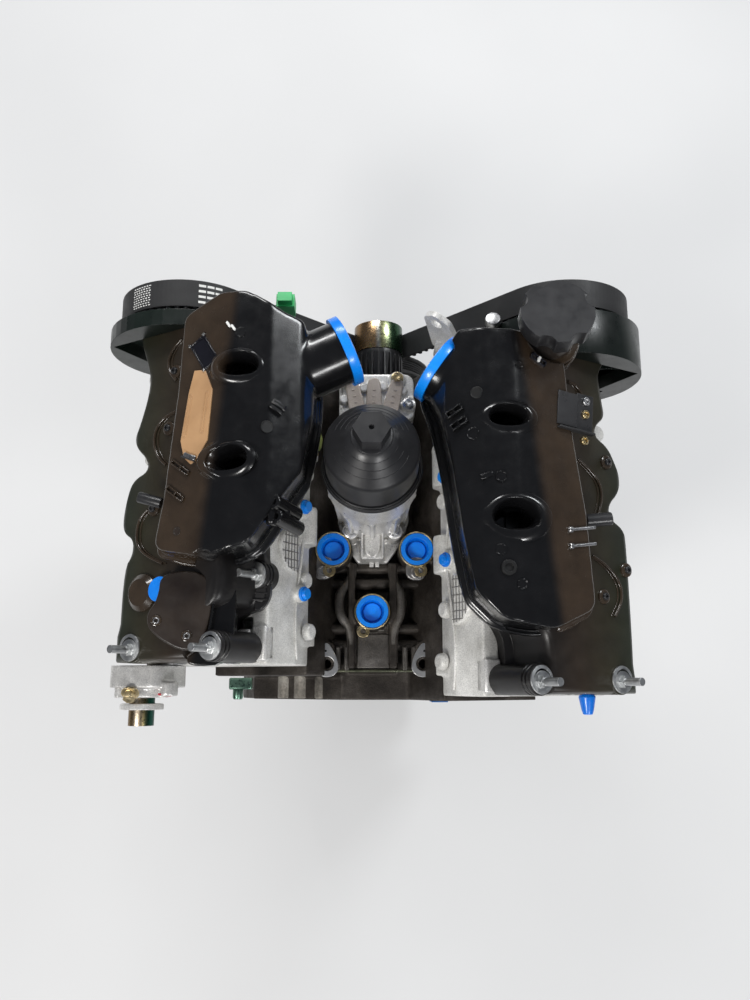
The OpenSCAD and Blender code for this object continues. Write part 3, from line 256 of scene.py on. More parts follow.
STEEL = metal("zinc_steel", 0.5, (0.74, 0.74, 0.75), 0.3)
STEEL_DULL = metal("dull_steel", (0.3, 0.29, 0.28), (0.46, 0.45, 0.44), 0.4)
TURNED = metal("turned_steel", (0.46, 0.46, 0.47), 0.7, 0.24, (1, 12, 1))
MACHINED = metal("machined_face", 0.66, (0.82, 0.82, 0.81), 0.34, (1, 5, 1), 500, 0.02)
ZINC = metal("zinc_plate", (0.5, 0.51, 0.51), (0.72, 0.73, 0.73), 0.42, grain=300, depth=0.01)
BRASS = metal("yellow_plated", (0.5, 0.38, 0.18), (0.82, 0.68, 0.42), 0.3)
GREEN_STEEL = metal("green_plated", (0.08, 0.16, 0.12), (0.22, 0.36, 0.28), 0.3)
# Yellow plated shaft with bands across its width painted as reflection: a pale highlight down the middle,
# brown and dark green streaks to the sides
SHAFT_PAINTED_REFLECTION = metal("shaft_painted_reflection", (0.2, 0.13, 0.05), (0.5, 0.4, 0.2), 0.28)
SHAFT_PAINTED_REFLECTION.bands((0.246, (0.1, 0.06, 0.02)), (0.254, (0.4, 0.28, 0.14)), (0.259, (0.7, 0.62, 0.5)),
            (0.264, (0.3, 0.2, 0.08)), (0.269, (0.03, 0.12, 0.08)), (0.274, (0.01, 0.05, 0.04)))
# Yellow plated idler drum with bands across it painted as reflection: a white highlight strip near the
# middle, copper, olive and green streaks, dark towards the sides
DRUM_PAINTED_REFLECTION = metal("drum_painted_reflection", (0.4, 0.28, 0.12), (0.66, 0.5, 0.26), 0.24)
DRUM_PAINTED_REFLECTION.bands((0.478, (0.16, 0.09, 0.03)), (0.49, (0.6, 0.38, 0.2)), (0.5, (0.5, 0.33, 0.18)),
           (0.5015, (0.9, 0.9, 0.86)), (0.5035, (0.9, 0.9, 0.86)), (0.505, (0.42, 0.4, 0.18)),
           (0.514, (0.55, 0.6, 0.35)), (0.518, (0.1, 0.2, 0.1)), (0.527, (0.02, 0.07, 0.03)))

# A slot name for each material, kept on the material
SLOTS = {
    "black_plastic": (GLOSS, COVER, BROWN, BLACK_GLASS, RECESS_SHADE, WHITE_PRINT_AND_HIGHLIGHT),
    "satin_black": (BLACK_STEEL, CAP),
    "blue_plastic": (BLUE, BLUE_DEEP),
    "bright_steel": (STEEL, ZINC),
    "cast_alloy": (ALLOY, BRIGHT_CAST, TAUPE, RED),
    "plated_metal": (BRASS, COPPER, STEEL_DULL, GREEN_STEEL, OLIVE),
    "block_iron": (IRON, IRON_WORN, OLIVE_IRON, SPECK, MACHINED, TURNED, BLUE_TAG),
}
for slot_name, group in SLOTS.items():
    for item in group:
        item.slot = slot_name


# Modifiers on CAD nodes
def soften(node, voxel_mm, turns):
    """A cast or moulded node gets rounded edges: its solid is remeshed and smoothed."""
    mod = node.modifiers.new("cast", "REMESH")
    mod.mode = "VOXEL"
    mod.voxel_size = voxel_mm * MM
    mod.use_smooth_shade = True
    smooth = node.modifiers.new("round", "SMOOTH")
    smooth.factor = 0.5
    smooth.iterations = turns


def sharpen(node, width_mm=0.5):
    """A machined node gets narrow bevels that catch the light."""
    weld = node.modifiers.new("weld", "WELD")
    weld.merge_threshold = 1e-6
    bevel = node.modifiers.new("bevel", "BEVEL")
    bevel.width = width_mm * MM
    bevel.segments = 2
    bevel.limit_method = "ANGLE"
    bevel.angle_limit = math.radians(35)
    bevel.harden_normals = False


def dress(names, material, soft=None, bevel=None):
    for name in names.split():
        node = NODE[name]
        node.data.materials.clear()
        node.data.materials.append(material.mat)
        if soft:
            soften(node, *soft)
        if bevel:
            sharpen(node, bevel)


# The CAD nodes
dress("cylinder_block main_bearing_caps", IRON, soft=(1.6, 3))
dress("oil_sump", SUMP, soft=(2.0, 3))
dress("cylinder_head_left cylinder_head_right", ALLOY, soft=(1.6, 3))
dress("front_cover coolant_manifold oil_filter_housing rear_pump", BRIGHT_CAST, soft=(1.2, 3))
dress("tensioner_arm oil_cooler", BRIGHT_CAST, bevel=0.5)
dress("cam_cover_left cam_cover_right", COVER)
dress("intake_plenum_left intake_plenum_right", GLOSS, soft=(1.3, 26))
dress("timing_plate_left timing_plate_right", GUARD, bevel=0.5)
dress("idler_hub oil_filler_neck", COVER, bevel=0.5)
dress("filter_cap oil_filler_cap", CAP, bevel=0.6)
dress("timing_belt", RUBBER)
dress("intake_plug_left intake_plug_right transport_plugs", BLUE, bevel=0.4)
dress("port_collars", BRASS, bevel=0.4)
dress("rear_pump_shaft", SHAFT_PAINTED_REFLECTION, bevel=0.4)
dress("cover_studs", ZINC, bevel=0.4)
dress("lifting_bracket", ALLOY, bevel=0.8)
dress("cam_sprocket_left cam_sprocket_right crank_sprocket tensioner_pulley", TURNED, bevel=0.3)
dress("coolant_pump_wheel", TURNED, bevel=0.3)
dress("idler_pulley", DRUM_PAINTED_REFLECTION, bevel=0.3)
dress("crankshaft crank_flange wrist_pins head_gaskets valves rocker_fingers", STEEL)
dress(" ".join(n for n in NODE if n.startswith(("piston", "connecting_rod", "camshaft"))), STEEL)
dress("crank_damper", SUMP, bevel=0.5)
dress("filter_element", PAPER)
dress("temperature_sensor", GREEN, bevel=0.5)


# Frames
def moved(x, y, z):
    return Matrix.Translation((x, y, z))


def rotated(degrees, axis="Z"):
    return Matrix.Rotation(math.radians(degrees), 4, axis)


def along(at, axis):
    """A frame at a point whose Z runs along an axis."""
    return moved(*at) @ Vector(axis).to_track_quat("Z", "Y").to_matrix().to_4x4()


# Helpers for new pieces, in millimetres; each passes a body on to finish_piece
def finish_piece(obj, material, body=ROOT, slot=None):
    bpy.context.scene.collection.objects.link(obj)
    obj.data.materials.append(material.mat)
    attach(obj, body)
    return obj


def mesh_piece(name, points, faces, material, bevel=0.0, segments=2, **where):
    """A closed mesh from points in millimetres, with its edges rounded when a bevel is given."""
    bm = bmesh.new()
    made = [bm.verts.new(Vector(p) * MM) for p in points]
    for face in faces:
        bm.faces.new([made[i] for i in face])
    bmesh.ops.remove_doubles(bm, verts=bm.verts, dist=1e-6)
    bmesh.ops.dissolve_degenerate(bm, edges=bm.edges, dist=1e-6)
    bmesh.ops.recalc_face_normals(bm, faces=bm.faces)
    mesh = bpy.data.meshes.new(name)
    bm.to_mesh(mesh)
    bm.free()
    mesh.shade_smooth()
    mesh.set_sharp_from_angle(angle=math.radians(32))
    obj = bpy.data.objects.new(name, mesh)
    if bevel:
        mod = obj.modifiers.new("edge", "BEVEL")
        mod.width = bevel * MM
        mod.segments = segments
        mod.limit_method = "ANGLE"
        mod.angle_limit = math.radians(30)
    return finish_piece(obj, material, **where)


def around(steps, count, spans):
    """Faces between profiles of count points each, set round a ring in steps."""
    return [(k * count + i, (k + 1) % steps * count + i, (k + 1) % steps * count + (i + 1) % count,
             k * count + (i + 1) % count) for k in range(steps) for i in range(spans)]


def revolve(name, profile, at_frame, material, steps=40, bevel=0.0, stretch=(1, 1), **where):
    """A profile of (radius, height) turned round the Z of a frame; stretch makes it oval."""
    points = []
    for k in range(steps):
        a = 2 * math.pi * k / steps
        points += [at_frame @ Vector((r * math.cos(a) * stretch[0], r * math.sin(a) * stretch[1], h))
                   for r, h in profile]
    open_ring = profile[0][0] > 1e-6 and profile[-1][0] > 1e-6
    faces = around(steps, len(profile), len(profile) if open_ring else len(profile) - 1)
    return mesh_piece(name, points, faces, material, bevel, **where)


def prism(name, outline, h0, h1, at_frame, material, bevel=0.6, segments=2, **where):
    """An outline pushed along the Z of a frame; h0 and h1 may be functions of the outline's point."""
    low_at = h0 if callable(h0) else lambda x, y: h0
    high_at = h1 if callable(h1) else lambda x, y: h1
    n = len(outline)
    points = [at_frame @ Vector((x, y, low_at(x, y))) for x, y in outline]
    points += [at_frame @ Vector((x, y, high_at(x, y))) for x, y in outline]
    faces = [tuple(range(n)), tuple(range(2 * n - 1, n - 1, -1))]
    faces += [(i, (i + 1) % n, n + (i + 1) % n, n + i) for i in range(n)]
    return mesh_piece(name, points, faces, material, bevel, segments, **where)


def block(name, low, high, at_frame, material, bevel=0.6, **where):
    """A bevelled bar between two corners of a frame."""
    (x0, y0, z0), (x1, y1, z1) = low, high
    return prism(name, [(x0, y0), (x1, y0), (x1, y1), (x0, y1)], z0, z1, at_frame, material, bevel, **where)


def bead(name, points, radius, material, closed=False, **where):
    """A round bead or wire along points in millimetres."""
    curve = bpy.data.curves.new(name, "CURVE")
    curve.dimensions = "3D"
    curve.bevel_depth = radius * MM
    curve.bevel_resolution = 3
    line = curve.splines.new("POLY")
    line.points.add(len(points) - 1)
    for spot, p in zip(line.points, points):
        spot.co = (*(Vector(p) * MM), 1)
    line.use_cyclic_u = closed
    curve.use_fill_caps = not closed
    return finish_piece(bpy.data.objects.new(name, curve), material, **where)


def circle(cx, cy, r, a0=0.0, a1=360.0, steps=36):
    """Points of a circle or of an arc, in degrees."""
    count = steps if a1 - a0 == 360 else steps + 1
    angles = [math.radians(a0 + (a1 - a0) * k / steps) for k in range(count)]
    return [(cx + r * math.cos(a), cy + r * math.sin(a)) for a in angles]


def hexagon(flats):
    return circle(0, 0, flats / math.sqrt(3), steps=6)


def cut_corner(a, b):
    """The points at a quarter and at three quarters of an edge."""
    a, b = Vector(a), Vector(b)
    return [tuple(a * 0.75 + b * 0.25), tuple(a * 0.25 + b * 0.75)]


def smooth_path(points, turns=2):
    """Corner cutting on an open line, which keeps its ends."""
    for _ in range(turns):
        cut = [p for a, b in zip(points, points[1:]) for p in cut_corner(a, b)]
        points = [points[0]] + cut + [points[-1]]
    return points


def smooth_loop(points, turns=2):
    """Corner cutting on a closed outline."""
    for _ in range(turns):
        points = [p for a, b in zip(points, points[1:] + points[:1]) for p in cut_corner(a, b)]
    return points


def loop_area(loop):
    """Twice the area of a loop, above zero where it runs counter-clockwise."""
    return sum(a[0] * b[1] - b[0] * a[1] for a, b in zip(loop, loop[1:] + loop[:1]))


def bolt(name, at_frame, flats, material, washer=0.75, height=0.6, **where):
    """A flanged hexagon bolt head with a dished top."""
    reach = flats * washer
    top = 1.6 + flats * height
    revolve(name + "_flange", [(0, -0.5), (reach, -0.5), (reach, 0.8), (flats * 0.56, 1.8), (0, 1.8)],
            at_frame, material, 28, **where)
    prism(name + "_head", hexagon(flats), 1.5, top, at_frame, material, 0.5, **where)
    dish = [(0, -0.3), (flats * 0.36, -0.3), (flats * 0.32, 0.35), (flats * 0.22, 0.1), (0, 0.1)]
    revolve(name + "_dish", dish, at_frame @ moved(0, 0, top), material, 24, **where)


def socket_screw(name, at_frame, r, material, height=4.0, **where):
    """A round screw head with a recess."""
    revolve(name, [(0, -0.5), (r, -0.5), (r, height - 0.8), (r - 0.7, height), (r * 0.55, height),
                   (r * 0.5, height - 1.8), (0, height - 2.0)], at_frame, material, 24, **where)


# Places on the part
WORLD = Matrix.Identity(4)
HALF_V = math.radians(30)
BANK_SHIFT = 30.0
HEAD_W = 253.2
CAM_W = HEAD_W + 92
COVER_W = CAM_W + 60
HEAD_IN = 80.0
CYL_Y = (104, 196, 288)
FILTER_LEAN = moved(-3, 202, 196) @ rotated(-9, "X")
FILLER = moved(166, 334, 372) @ rotated(-12, "X")
CROWN = ((44, 384), (66, 416), (98, 430), (128, 428), (204, 394), (214, 380))
FACET_TILT = math.atan2(34, 76)


def bank(side):
    """The frame of a bank: x across it (outboard positive), y along the engine, z along the bores."""
    c, s = math.cos(HALF_V), math.sin(HALF_V)
    shift = 0 if side > 0 else BANK_SHIFT
    return Matrix(((side * c, 0, side * s, 0), (0, 1, 0, shift), (-s, 0, c, 0), (0, 0, 0, 1)))


def crown(x):
    """Height of a plenum's section at x."""
    a = abs(x)
    for (x0, z0), (x1, z1) in zip(CROWN, CROWN[1:]):
        if a <= x1:
            return z0 + (z1 - z0) * (a - x0) / (x1 - x0)
    return CROWN[-1][1]


def on_facet(x, y, lift=0.0, turn=0.0):
    """A frame on a plenum's outboard facet: X down or up the slope, Z out of the face."""
    side = 1 if x > 0 else -1
    z = 428 - (abs(x) - 128) * math.tan(FACET_TILT)
    return moved(x, y, z + lift) @ Matrix.Rotation(side * FACET_TILT, 4, "Y") @ rotated(turn)


def on_crown(x, y, lift=0.0, turn=0.0):
    """A frame on a plenum's top, square to its section."""
    slope = (crown(x + 1) - crown(x - 1)) / 2
    return moved(x, y, crown(x) + lift) @ Matrix.Rotation(-math.atan(slope), 4, "Y") @ rotated(turn)


def facet_outline(points, x0, y0):
    """World points as an outline in the facet frame at x0, y0."""
    return [((x - x0) / math.cos(FACET_TILT), y - y0) for x, y in points]


def grow(loop, reach):
    """A loop moved outwards along its own normals."""
    reach = math.copysign(reach, loop_area(loop))
    out = []
    for a, b, c in zip(loop[-1:] + loop[:-1], loop, loop[1:] + loop[:1]):
        d = Vector((c[0] - a[0], c[1] - a[1])).normalized() * reach
        out.append((b[0] + d.y, b[1] - d.x))
    return out


def cover_top(x):
    """Height of a cam cover's top plane at x."""
    return (COVER_W - abs(x) * math.sin(HALF_V)) / math.cos(HALF_V)


# Flange of a plenum with two fine ridges on it
PLENUM_EDGE = {
    -1: [(-182, 362), (-146, 379), (-118, 377), (-84, 358), (-66, 352), (-57, 296), (-58, 262), (-67, 206),
         (-92, 168), (-112, 138), (-152, 128), (-203, 138), (-195, 184), (-185, 288)],
    1: [(178, 328), (140, 339), (104, 340), (78, 342), (46, 298), (60, 262), (70, 214), (78, 150),
        (88, 96), (112, 72), (158, 65), (199, 84), (194, 170), (183, 250)],
}


def plenum_flange(side):
    loop = smooth_loop(PLENUM_EDGE[side], 3)
    low, top = 362, 370
    prism(f"plenum_flange_{side}", grow(loop, 6.5), low, top, WORLD, GLOSS, 1.6, 3, slot="satin_black")
    for k, reach in enumerate((1.4, 4.6)):
        ridge = [(x, y, top + 0.2) for x, y in grow(loop, reach)]
        bead(f"plenum_ridge_{side}_{k}", ridge, 0.9, GLOSS, slot="satin_black", closed=True)


# Left plenum: tan plate, moulded frames, clips and bosses
def tan_plate():
    x0, y0 = -164, 258
    at = on_facet(x0, y0)
    outline = facet_outline([(-173, 282), (-179, 237), (-175, 221), (-168, 214), (-161, 219), (-152, 235),
                             (-149, 283), (-157, 303), (-168, 304)], x0, y0)
    prism("heat_plate", outline, -0.6, 1.4, at, COPPER, bevel=0.4)
    for k, line in enumerate([[(-170.5, 279), (-175, 242)], [(-154, 280), (-157.5, 244)]]):
        (ax, ay), (bx, by) = facet_outline(line, x0, y0)
        loop = circle(ax, ay, 1.6, 0, 180, 8) + circle(bx, by, 1.6, 180, 360, 8)
        bead(f"heat_plate_rib_{k}", [at @ Vector((x, y, 1.5)) for x, y in loop], 0.45, COPPER, closed=True)
    clip = at @ moved(-4.4, -37, 1.4) @ rotated(-22)
    block("heat_plate_clip", (-7, -2.2, 0), (7, 2.2, 2.4), clip, STEEL, bevel=0.8)
    pin = [clip @ Vector((x, -2.6, 2.2)) for x in (-8, 8)]
    bead("heat_plate_pin", pin, 0.8, BLACK_STEEL, slot="bright_steel")


def frame_bars(x, y, wall):
    """The corners of the four bars of a rectangular frame."""
    return (((-x, -y), (x, -y + wall)), ((-x, y - wall), (x, y)),
            ((-x, -y), (-x + wall, y)), ((x - wall, -y), (x, y)))


def frame_clip(name, at, length, width, tall=2.6, wall=1.3, material=GLOSS):
    """A moulded rectangular frame with a middle bar, standing on a surface."""
    for k, (low, high) in enumerate(frame_bars(length / 2, width / 2, wall)):
        block(f"{name}_{k}", (*low, -0.8), (*high, tall), at, material, bevel=0.35)
    block(f"{name}_4", (-0.8, -width / 2, -0.8), (0.8, width / 2, tall * 0.8), at, material, bevel=0.35)


def stand_off(name, start, end, r, material, **where):
    """A tube with an open end, lying between two points."""
    start, end = Vector(start), Vector(end)
    length, bore = (end - start).length, r * 0.45
    revolve(name, [(bore, 0), (r * 0.92, 0), (r, 0.8), (r, length), (0.01, length), (0.01, length * 0.35),
                   (bore, length * 0.35)], along(start, end - start), material, 32, 0.3, **where)


def ring_mark(name, at, r, raised=0.5, material=GLOSS):
    """A flat moulded disc with a fine rim, such as an ejector mark."""
    floor_h = raised * 0.4
    revolve(name, [(0, -0.4), (r, -0.4), (r, raised), (r - 0.8, raised), (r - 1.1, floor_h), (0, floor_h)],
            at, material, 32)


def pit(name, at, r):
    """A blind round recess shown by its lip and a near-black floor: a raised disc with painted shade in place
    of its depth.
    """
    lip = [(0, 0.12), (r * 0.82, 0.12), (r * 0.9, 0.5), (r, 0.5), (r * 1.08, -0.3), (0, -0.3)]
    revolve(name, lip, at, RECESS_SHADE, 32)


def left_plenum_details():
    raised = on_facet(-159, 320.5, 0, 33)
    half_x, half_y, wall, deep = 9, 15.48, 1.4, -0.8
    bars = ((-half_x, -half_y, -half_x + wall, half_y), (half_x - wall, -half_y, half_x, half_y),
            (-half_x, half_y - 1.204, half_x, half_y), (-half_x, -half_y, half_x, -half_y + 1.204))
    for k, (x0, y0, x1, y1) in enumerate(bars):
        block(f"plenum_window_{k}", (x0, y0, deep), (x1, y1, 2), raised, BLACK_GLASS, bevel=0.4)
    block("plenum_window_pane", (-7.8, -14.6, deep), (7.8, 14.6, 0.5), raised, BLACK_GLASS, bevel=0.3)
    for k, (u, v) in enumerate([(-9, 15.5), (9, 15.5), (-9, -15.5), (9, -15.5)]):
        socket_screw(f"plenum_window_rivet_{k}", raised @ moved(u, v, 1), 1.5, STEEL, 2)
    frame_clip("clip_front", on_facet(-178, 212, 0, -36), 24, 5)
    frame_clip("clip_rear", on_facet(-182, 188, 0, -36), 23, 5.6)
    # two white blocks painted on the inner clip as its highlights
    for k, (x, y) in enumerate([(-135.5, 344), (-130.5, 340)]):
        block(f"clip_inner_highlight_{k}", (-1.1, -3.4, -0.6), (1.1, 3.4, 1.8), on_facet(x, y, 0, 35), WHITE_PRINT_AND_HIGHLIGHT, bevel=0.4)
    ring_mark("plenum_mark_l0", on_crown(-124, 335), 5)
    ring_mark("plenum_mark_l1", on_facet(-179, 153), 4, material=BROWN)
    pit("plenum_pit_l0", on_crown(-97, 244), 5.6)
    at = on_crown(-89, 263, 0, -30)
    block("plenum_catch", (-7, -5, -1), (7, 5, 4.4), at, GLOSS, bevel=0.9)
    block("plenum_catch_lip", (-7.6, -1, 3.4), (7.6, 1, 6), at, GLOSS, bevel=0.6)
    stand_off("tube_left", (-225, 192, 371), (-203, 186, 371), 5.4, BLACK_STEEL, slot="black_plastic")
    for k, (x, y) in enumerate([(-92, 176), (-90, 163)]):
        top = Vector((x, y, crown(x) - 6))
        stand_off(f"plenum_boss_{k}", top + Vector((2, 0, 5)), top + Vector((20, -6, -26)), 7, GLOSS)
    web = along((-84, 168, crown(-84) - 3), (0.55, 0, 0.83))
    block("plenum_boss_web", (-12, -11, -9), (10, 11, 0), web, GLOSS, bevel=2.5)


FUNNELS = ((-125, 303, 19, 13.5), (-132, 214.5, 20.5, 13.5), (120.7, 254, 18.5, 12), (125, 162.5, 22, 16.4))


def funnel_lip(name, at, rx, ry, soft):
    """The rolled edge of a funnel; its rear half is flatter, and a soft one has a wider shoulder."""
    shoulder = [(1.36, -0.9), (1.46, -2.6)] if soft else [(1.28, -0.9), (1.36, -2.6)]
    profile = [(0.72, -26), (0.78, -12), (0.88, -4), (0.96, -0.6), (1.03, 0.9), (1.1, 1.1), (1.2, 0.5),
               *shoulder, (1.2, -6), (1.0, -14)]
    steps, points = 64, []
    for k in range(steps):
        a = 2 * math.pi * k / steps
        c, d = math.cos(a), math.sin(a)
        for r, h in profile:
            flat = 1 - 0.3 * max(0, -d) * min(1, max(0, 1.3 - r) / 0.3)
            points.append(at @ Vector((r * rx * c, r * ry * d * flat, h)))
    mesh_piece(name, points, around(steps, len(profile), len(profile)), GLOSS, slot="satin_black")


# Right plenum: box catches, bracket with screws, tubes and pins
def right_plenum_details():
    at = on_facet(187, 268, 0, -6)
    block("side_bracket_foot", (-20, -17, -1), (2, 16, 1.4), at, BLACK_STEEL, bevel=0.4)
    block("side_bracket_plate", (2, -20, -3), (21, 19, -0.6), at, BLACK_STEEL, bevel=0.4)
    block("side_bracket_flange", (-19, -20.6, -2), (21, -19, 5), at, BLACK_STEEL, bevel=0.4)
    for k, (v, material) in enumerate([(12, STEEL), (-1, BRASS), (-27, BRASS)]):
        socket_screw(f"side_bracket_screw_{k}", at @ moved(12, v, -1), 4.2, material, 3, slot="bright_steel")
    stand_off("tube_right", (224, 171, 371), (200, 169, 371), 6.4, BLACK_STEEL, slot="black_plastic")
    for k, y in enumerate([154, 139]):
        bead(f"side_pin_{k}", [(176, y, 408), (201, y + 4, 397)], 1.5, STEEL)
        socket_screw(f"side_pin_head_{k}", along((177, y, 407.5), (-0.9, 0, 0.4)), 2.8, STEEL, 3)
    pit("plenum_pit_r0", on_crown(92, 277), 5.6)
    marks = ((88, 239, 6, 0.5), (112, 198.5, 5.4, 1.3), (110, 133, 5.4, 0.5), (128, 103, 5, 0.5),
             (132, 304, 4, 0.5))
    for k, (x, y, r, raised) in enumerate(marks):
        ring_mark(f"plenum_mark_r{k}", on_crown(x, y), r, raised)
    block("plenum_tab", (-6, -2.4, -0.8), (6, 2.4, 2), on_crown(99, 199, 0, 20), GLOSS, bevel=0.6)
    # a screw-shaped plug drawn in the near-black painted recess shade
    socket_screw("plenum_plug_r", on_crown(116, 117), 7, RECESS_SHADE, 3)
    for k, (x, y) in enumerate([(73, 261), (77, 249)]):
        frame_clip(f"catch_right_{k}", on_crown(x, y, 0, 30), 17, 7, 5, 1.6)
    frame_clip("clip_right_front", on_crown(151, 312, 0, -28), 17, 6, 2.6, 1.5, BLACK_GLASS)
    # a white bar painted on the front clip as its highlight
    block("clip_right_shine", (-1.4, -3, 0), (1.4, 3, 3.2), on_crown(151, 312, 0, -28), WHITE_PRINT_AND_HIGHLIGHT)


# Cam covers: shells with a scalloped outer edge, in the frame of their bank
COVER_EDGE = {
    -1: [(52, 352), (52, 336), (44, 318), (38, 300), (37, 287), (40, 270), (48, 246), (54, 233), (50, 222),
         (35, 209), (33, 196), (52, 189), (59, 176), (64, 150), (62, 136), (48, 128), (48, 112), (58, 100),
         (59, 34), (58, 8)],
    1: [(52, 352), (44, 344), (35, 330), (36, 316), (39, 296), (41, 284), (27, 273), (26, 261), (43, 252),
        (51, 238), (57, 225), (56, 208), (39, 192), (41, 178), (58, 169), (61, 156), (61, 34), (58, 8)],
}
COVER_INNER = {
    -1: [(-46, 8), (-46, 44), (-54, 52), (-80, 60), (-85, 76), (-85, 96), (-80, 112), (-80, 352)],
    1: [(-62, 8), (-62, 56), (-70, 70), (-80, 80), (-80, 352)],
}
COVER_Y = (8, 352)
FOOT_Y = 34
COVER_LEVELS = ((0.4, 0, 0, 75), (10, 0, 0, 75), (14, 8, 0, 75), (42, 12, 0.4, 73), (52, 13, 0.8, 64),
                (56.5, 15, 2.2, 60), (59, 17.5, 4.6, 57), (60, 21, 8.5, 53))


def cover_shell(side):
    """A moulded shell: rings of its outline at rising heights, closed on top, with a wall thickness.

    A level holds its height, how far the inner edge and the outer edge draw in, and how far out the
    foot at the rear end reaches.
    """
    at = bank(side)
    outline = smooth_path(COVER_EDGE[side]) + smooth_path(COVER_INNER[side])
    points = []
    for up, inboard, out, foot in COVER_LEVELS:
        for x, y in outline:
            px = x + inboard if x < 0 else (foot if y < FOOT_Y else x - out)
            points.append(at @ Vector((px, min(max(y, COVER_Y[0] + out), COVER_Y[1] - out), CAM_W + up)))
    n = len(outline)
    top = n * (len(COVER_LEVELS) - 1)
    faces = [tuple(range(top, top + n))]
    faces += [(k + i, k + (i + 1) % n, k + n + (i + 1) % n, k + n + i)
              for k in range(0, top, n) for i in range(n)]
    name = "left" if side < 0 else "right"
    shell = mesh_piece(f"cover_shell_{name}", points, faces, COVER)
    wall = shell.modifiers.new("wall", "SOLIDIFY")
    wall.thickness = 2.6 * MM
    wall.offset = -1
    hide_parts(f"cam_cover_{name}")


WELLS = (
    ((-195, 358), (-204, 351), (-210, 338), (-207, 325), (-199, 315)),
    ((-197, 283), (-212, 278), (-221, 266), (-221, 250), (-214, 236), (-206, 229)),
    ((-224, 186), (-234, 177), (-236, 161), (-233, 149), (-221, 139), (-204, 131)),
    ((192, 313), (200, 311), (207, 304), (209, 292)),
    ((199, 234), (213, 224), (223, 213), (225, 198), (219, 181)),
    ((210, 139), (222, 133), (234, 123), (241, 111), (241, 97), (232, 82)),
)
COVER_SCREWS = ((-199.7, 325), (-204.4, 266.2), (-216.8, 186), (231.7, 235.5), (220.4, 100.3), (247.8, 127.9))


def on_cover(x, y, lift=0.0):
    """A frame on the sloped top of a cam cover."""
    side = 1 if x > 0 else -1
    return moved(x, y, cover_top(x) + lift) @ Matrix.Rotation(side * HALF_V, 4, "Y")


def cover_details():
    for k, arc in enumerate(WELLS):
        line = smooth_path(list(arc), 3)
        side = 1 if arc[0][0] > 0 else -1
        bead(f"cover_rim_{k}", [(x, y, cover_top(x) + 1) for x, y in line], 1.5, GLOSS)
        inner = [(x - side * 4, y, cover_top(x - side * 4) + 0.4) for x, y in line]
        bead(f"cover_step_{k}", inner, 0.7, GLOSS)
    for k, (x, y) in enumerate(COVER_SCREWS):
        at = on_cover(x, y)
        revolve(f"cover_screw_base_{k}", [(0, -1), (7.4, -1), (7, 1.6), (5.6, 2.4), (0, 2.4)], at, GLOSS,
                steps=28)
        socket_screw(f"cover_screw_{k}", at @ moved(0, 0, 2), 3.6, BLACK_STEEL, 3)


# Ringed rubber bosses and wide washers of the cover studs
STUDS = {-1: ((-62, 22, COVER_W), (38, 22, COVER_W), (-75, 90, CAM_W + 14)),
         1: ((-62, 22, COVER_W), (38, 22, COVER_W))}


def stud_details(side):
    for k, (x, y, top) in enumerate(STUDS[side]):
        at = bank(side) @ moved(x, y, top)
        low = CAM_W - 4 - top
        rings = [(10.8, 0.2), (13.4, 0.2), (14.4, -0.8), (14.4, -3), (13, -3.6), (13, -5), (14.4, -5.6),
                 (14.4, -8), (13, -8.6), (13, -10), (14.4, -10.6), (14.6, low), (10.8, low)]
        revolve(f"stud_boss_{side}_{k}", rings, at, COVER, steps=48)
        washer = [(9.8, 0.3), (12.8, 0.3), (13.1, 0.9), (12.8, 2.1), (9.8, 2.7)]
        revolve(f"stud_washer_{side}_{k}", washer, at, ZINC, steps=48)


# Filter cap, housing and manifold
def filter_details():
    cap_r, edge_h, top_h, hex_top = 45.5, 206, 234, 241
    for k, (r, h) in enumerate([(cap_r + 3.6, 160.2), (cap_r + 2.4, 163.4), (cap_r + 1.2, 166.2)]):
        ridge = [FILTER_LEAN @ Vector((x, y, h)) for x, y in circle(0, 0, r, steps=72)]
        bead(f"cap_ridge_{k}", ridge, 0.8, CAP, True, body="filter_lid")
    slope = (top_h - 6 - edge_h - 2) / (22 - cap_r + 4)
    for k, r in enumerate([25.5, 31, 36.5]):
        for part, (a0, a1) in enumerate([(-160, -20), (20, 160)]):
            height = edge_h + 2 + slope * (r - cap_r + 4)
            line = [FILTER_LEAN @ Vector((x, y, height)) for x, y in circle(0, 0, r, a0, a1, 40)]
            bead(f"cap_arc_{k}_{part}", line, 0.32, CAP, body="filter_lid")
    revolve("cap_dimple", [(0, 0.1), (3.2, 0.1), (4.2, 0.9), (5, 0.9), (6, -0.4), (0, -0.4)],
            FILTER_LEAN @ moved(0, 0, hex_top - 0.5), CAP, body="filter_lid", steps=32)
    revolve("cap_boss", [(0, 0), (20, 0), (19, 1.6), (16.5, 2.4), (0, 2.4)],
            FILTER_LEAN @ moved(0, 0, top_h - 5), CAP, body="filter_lid", steps=48)
    for k, x in enumerate((-27, 21)):
        bolt(f"housing_bolt_{k}", moved(x, 181, 246), 10, STEEL, 0.78, 0.6)
    prism("housing_mid_rib", smooth_loop([(-12, 151), (6, 151), (7, 186), (-13, 186)], 2), 249.5, 253, WORLD,
          BRIGHT_CAST, bevel=1.5)
    for x in (-14, 8):
        block(f"housing_wall_{x}", (x - 1, 151, 240), (x + 1.4, 190, 257), WORLD, BRIGHT_CAST, bevel=0.8)
    for k, x in enumerate((-3.4, 2.8)):
        block(f"housing_foot_{k}", (x - 3, 146, 206), (x + 2, 151, 214), WORLD, BRIGHT_CAST, bevel=0.8)


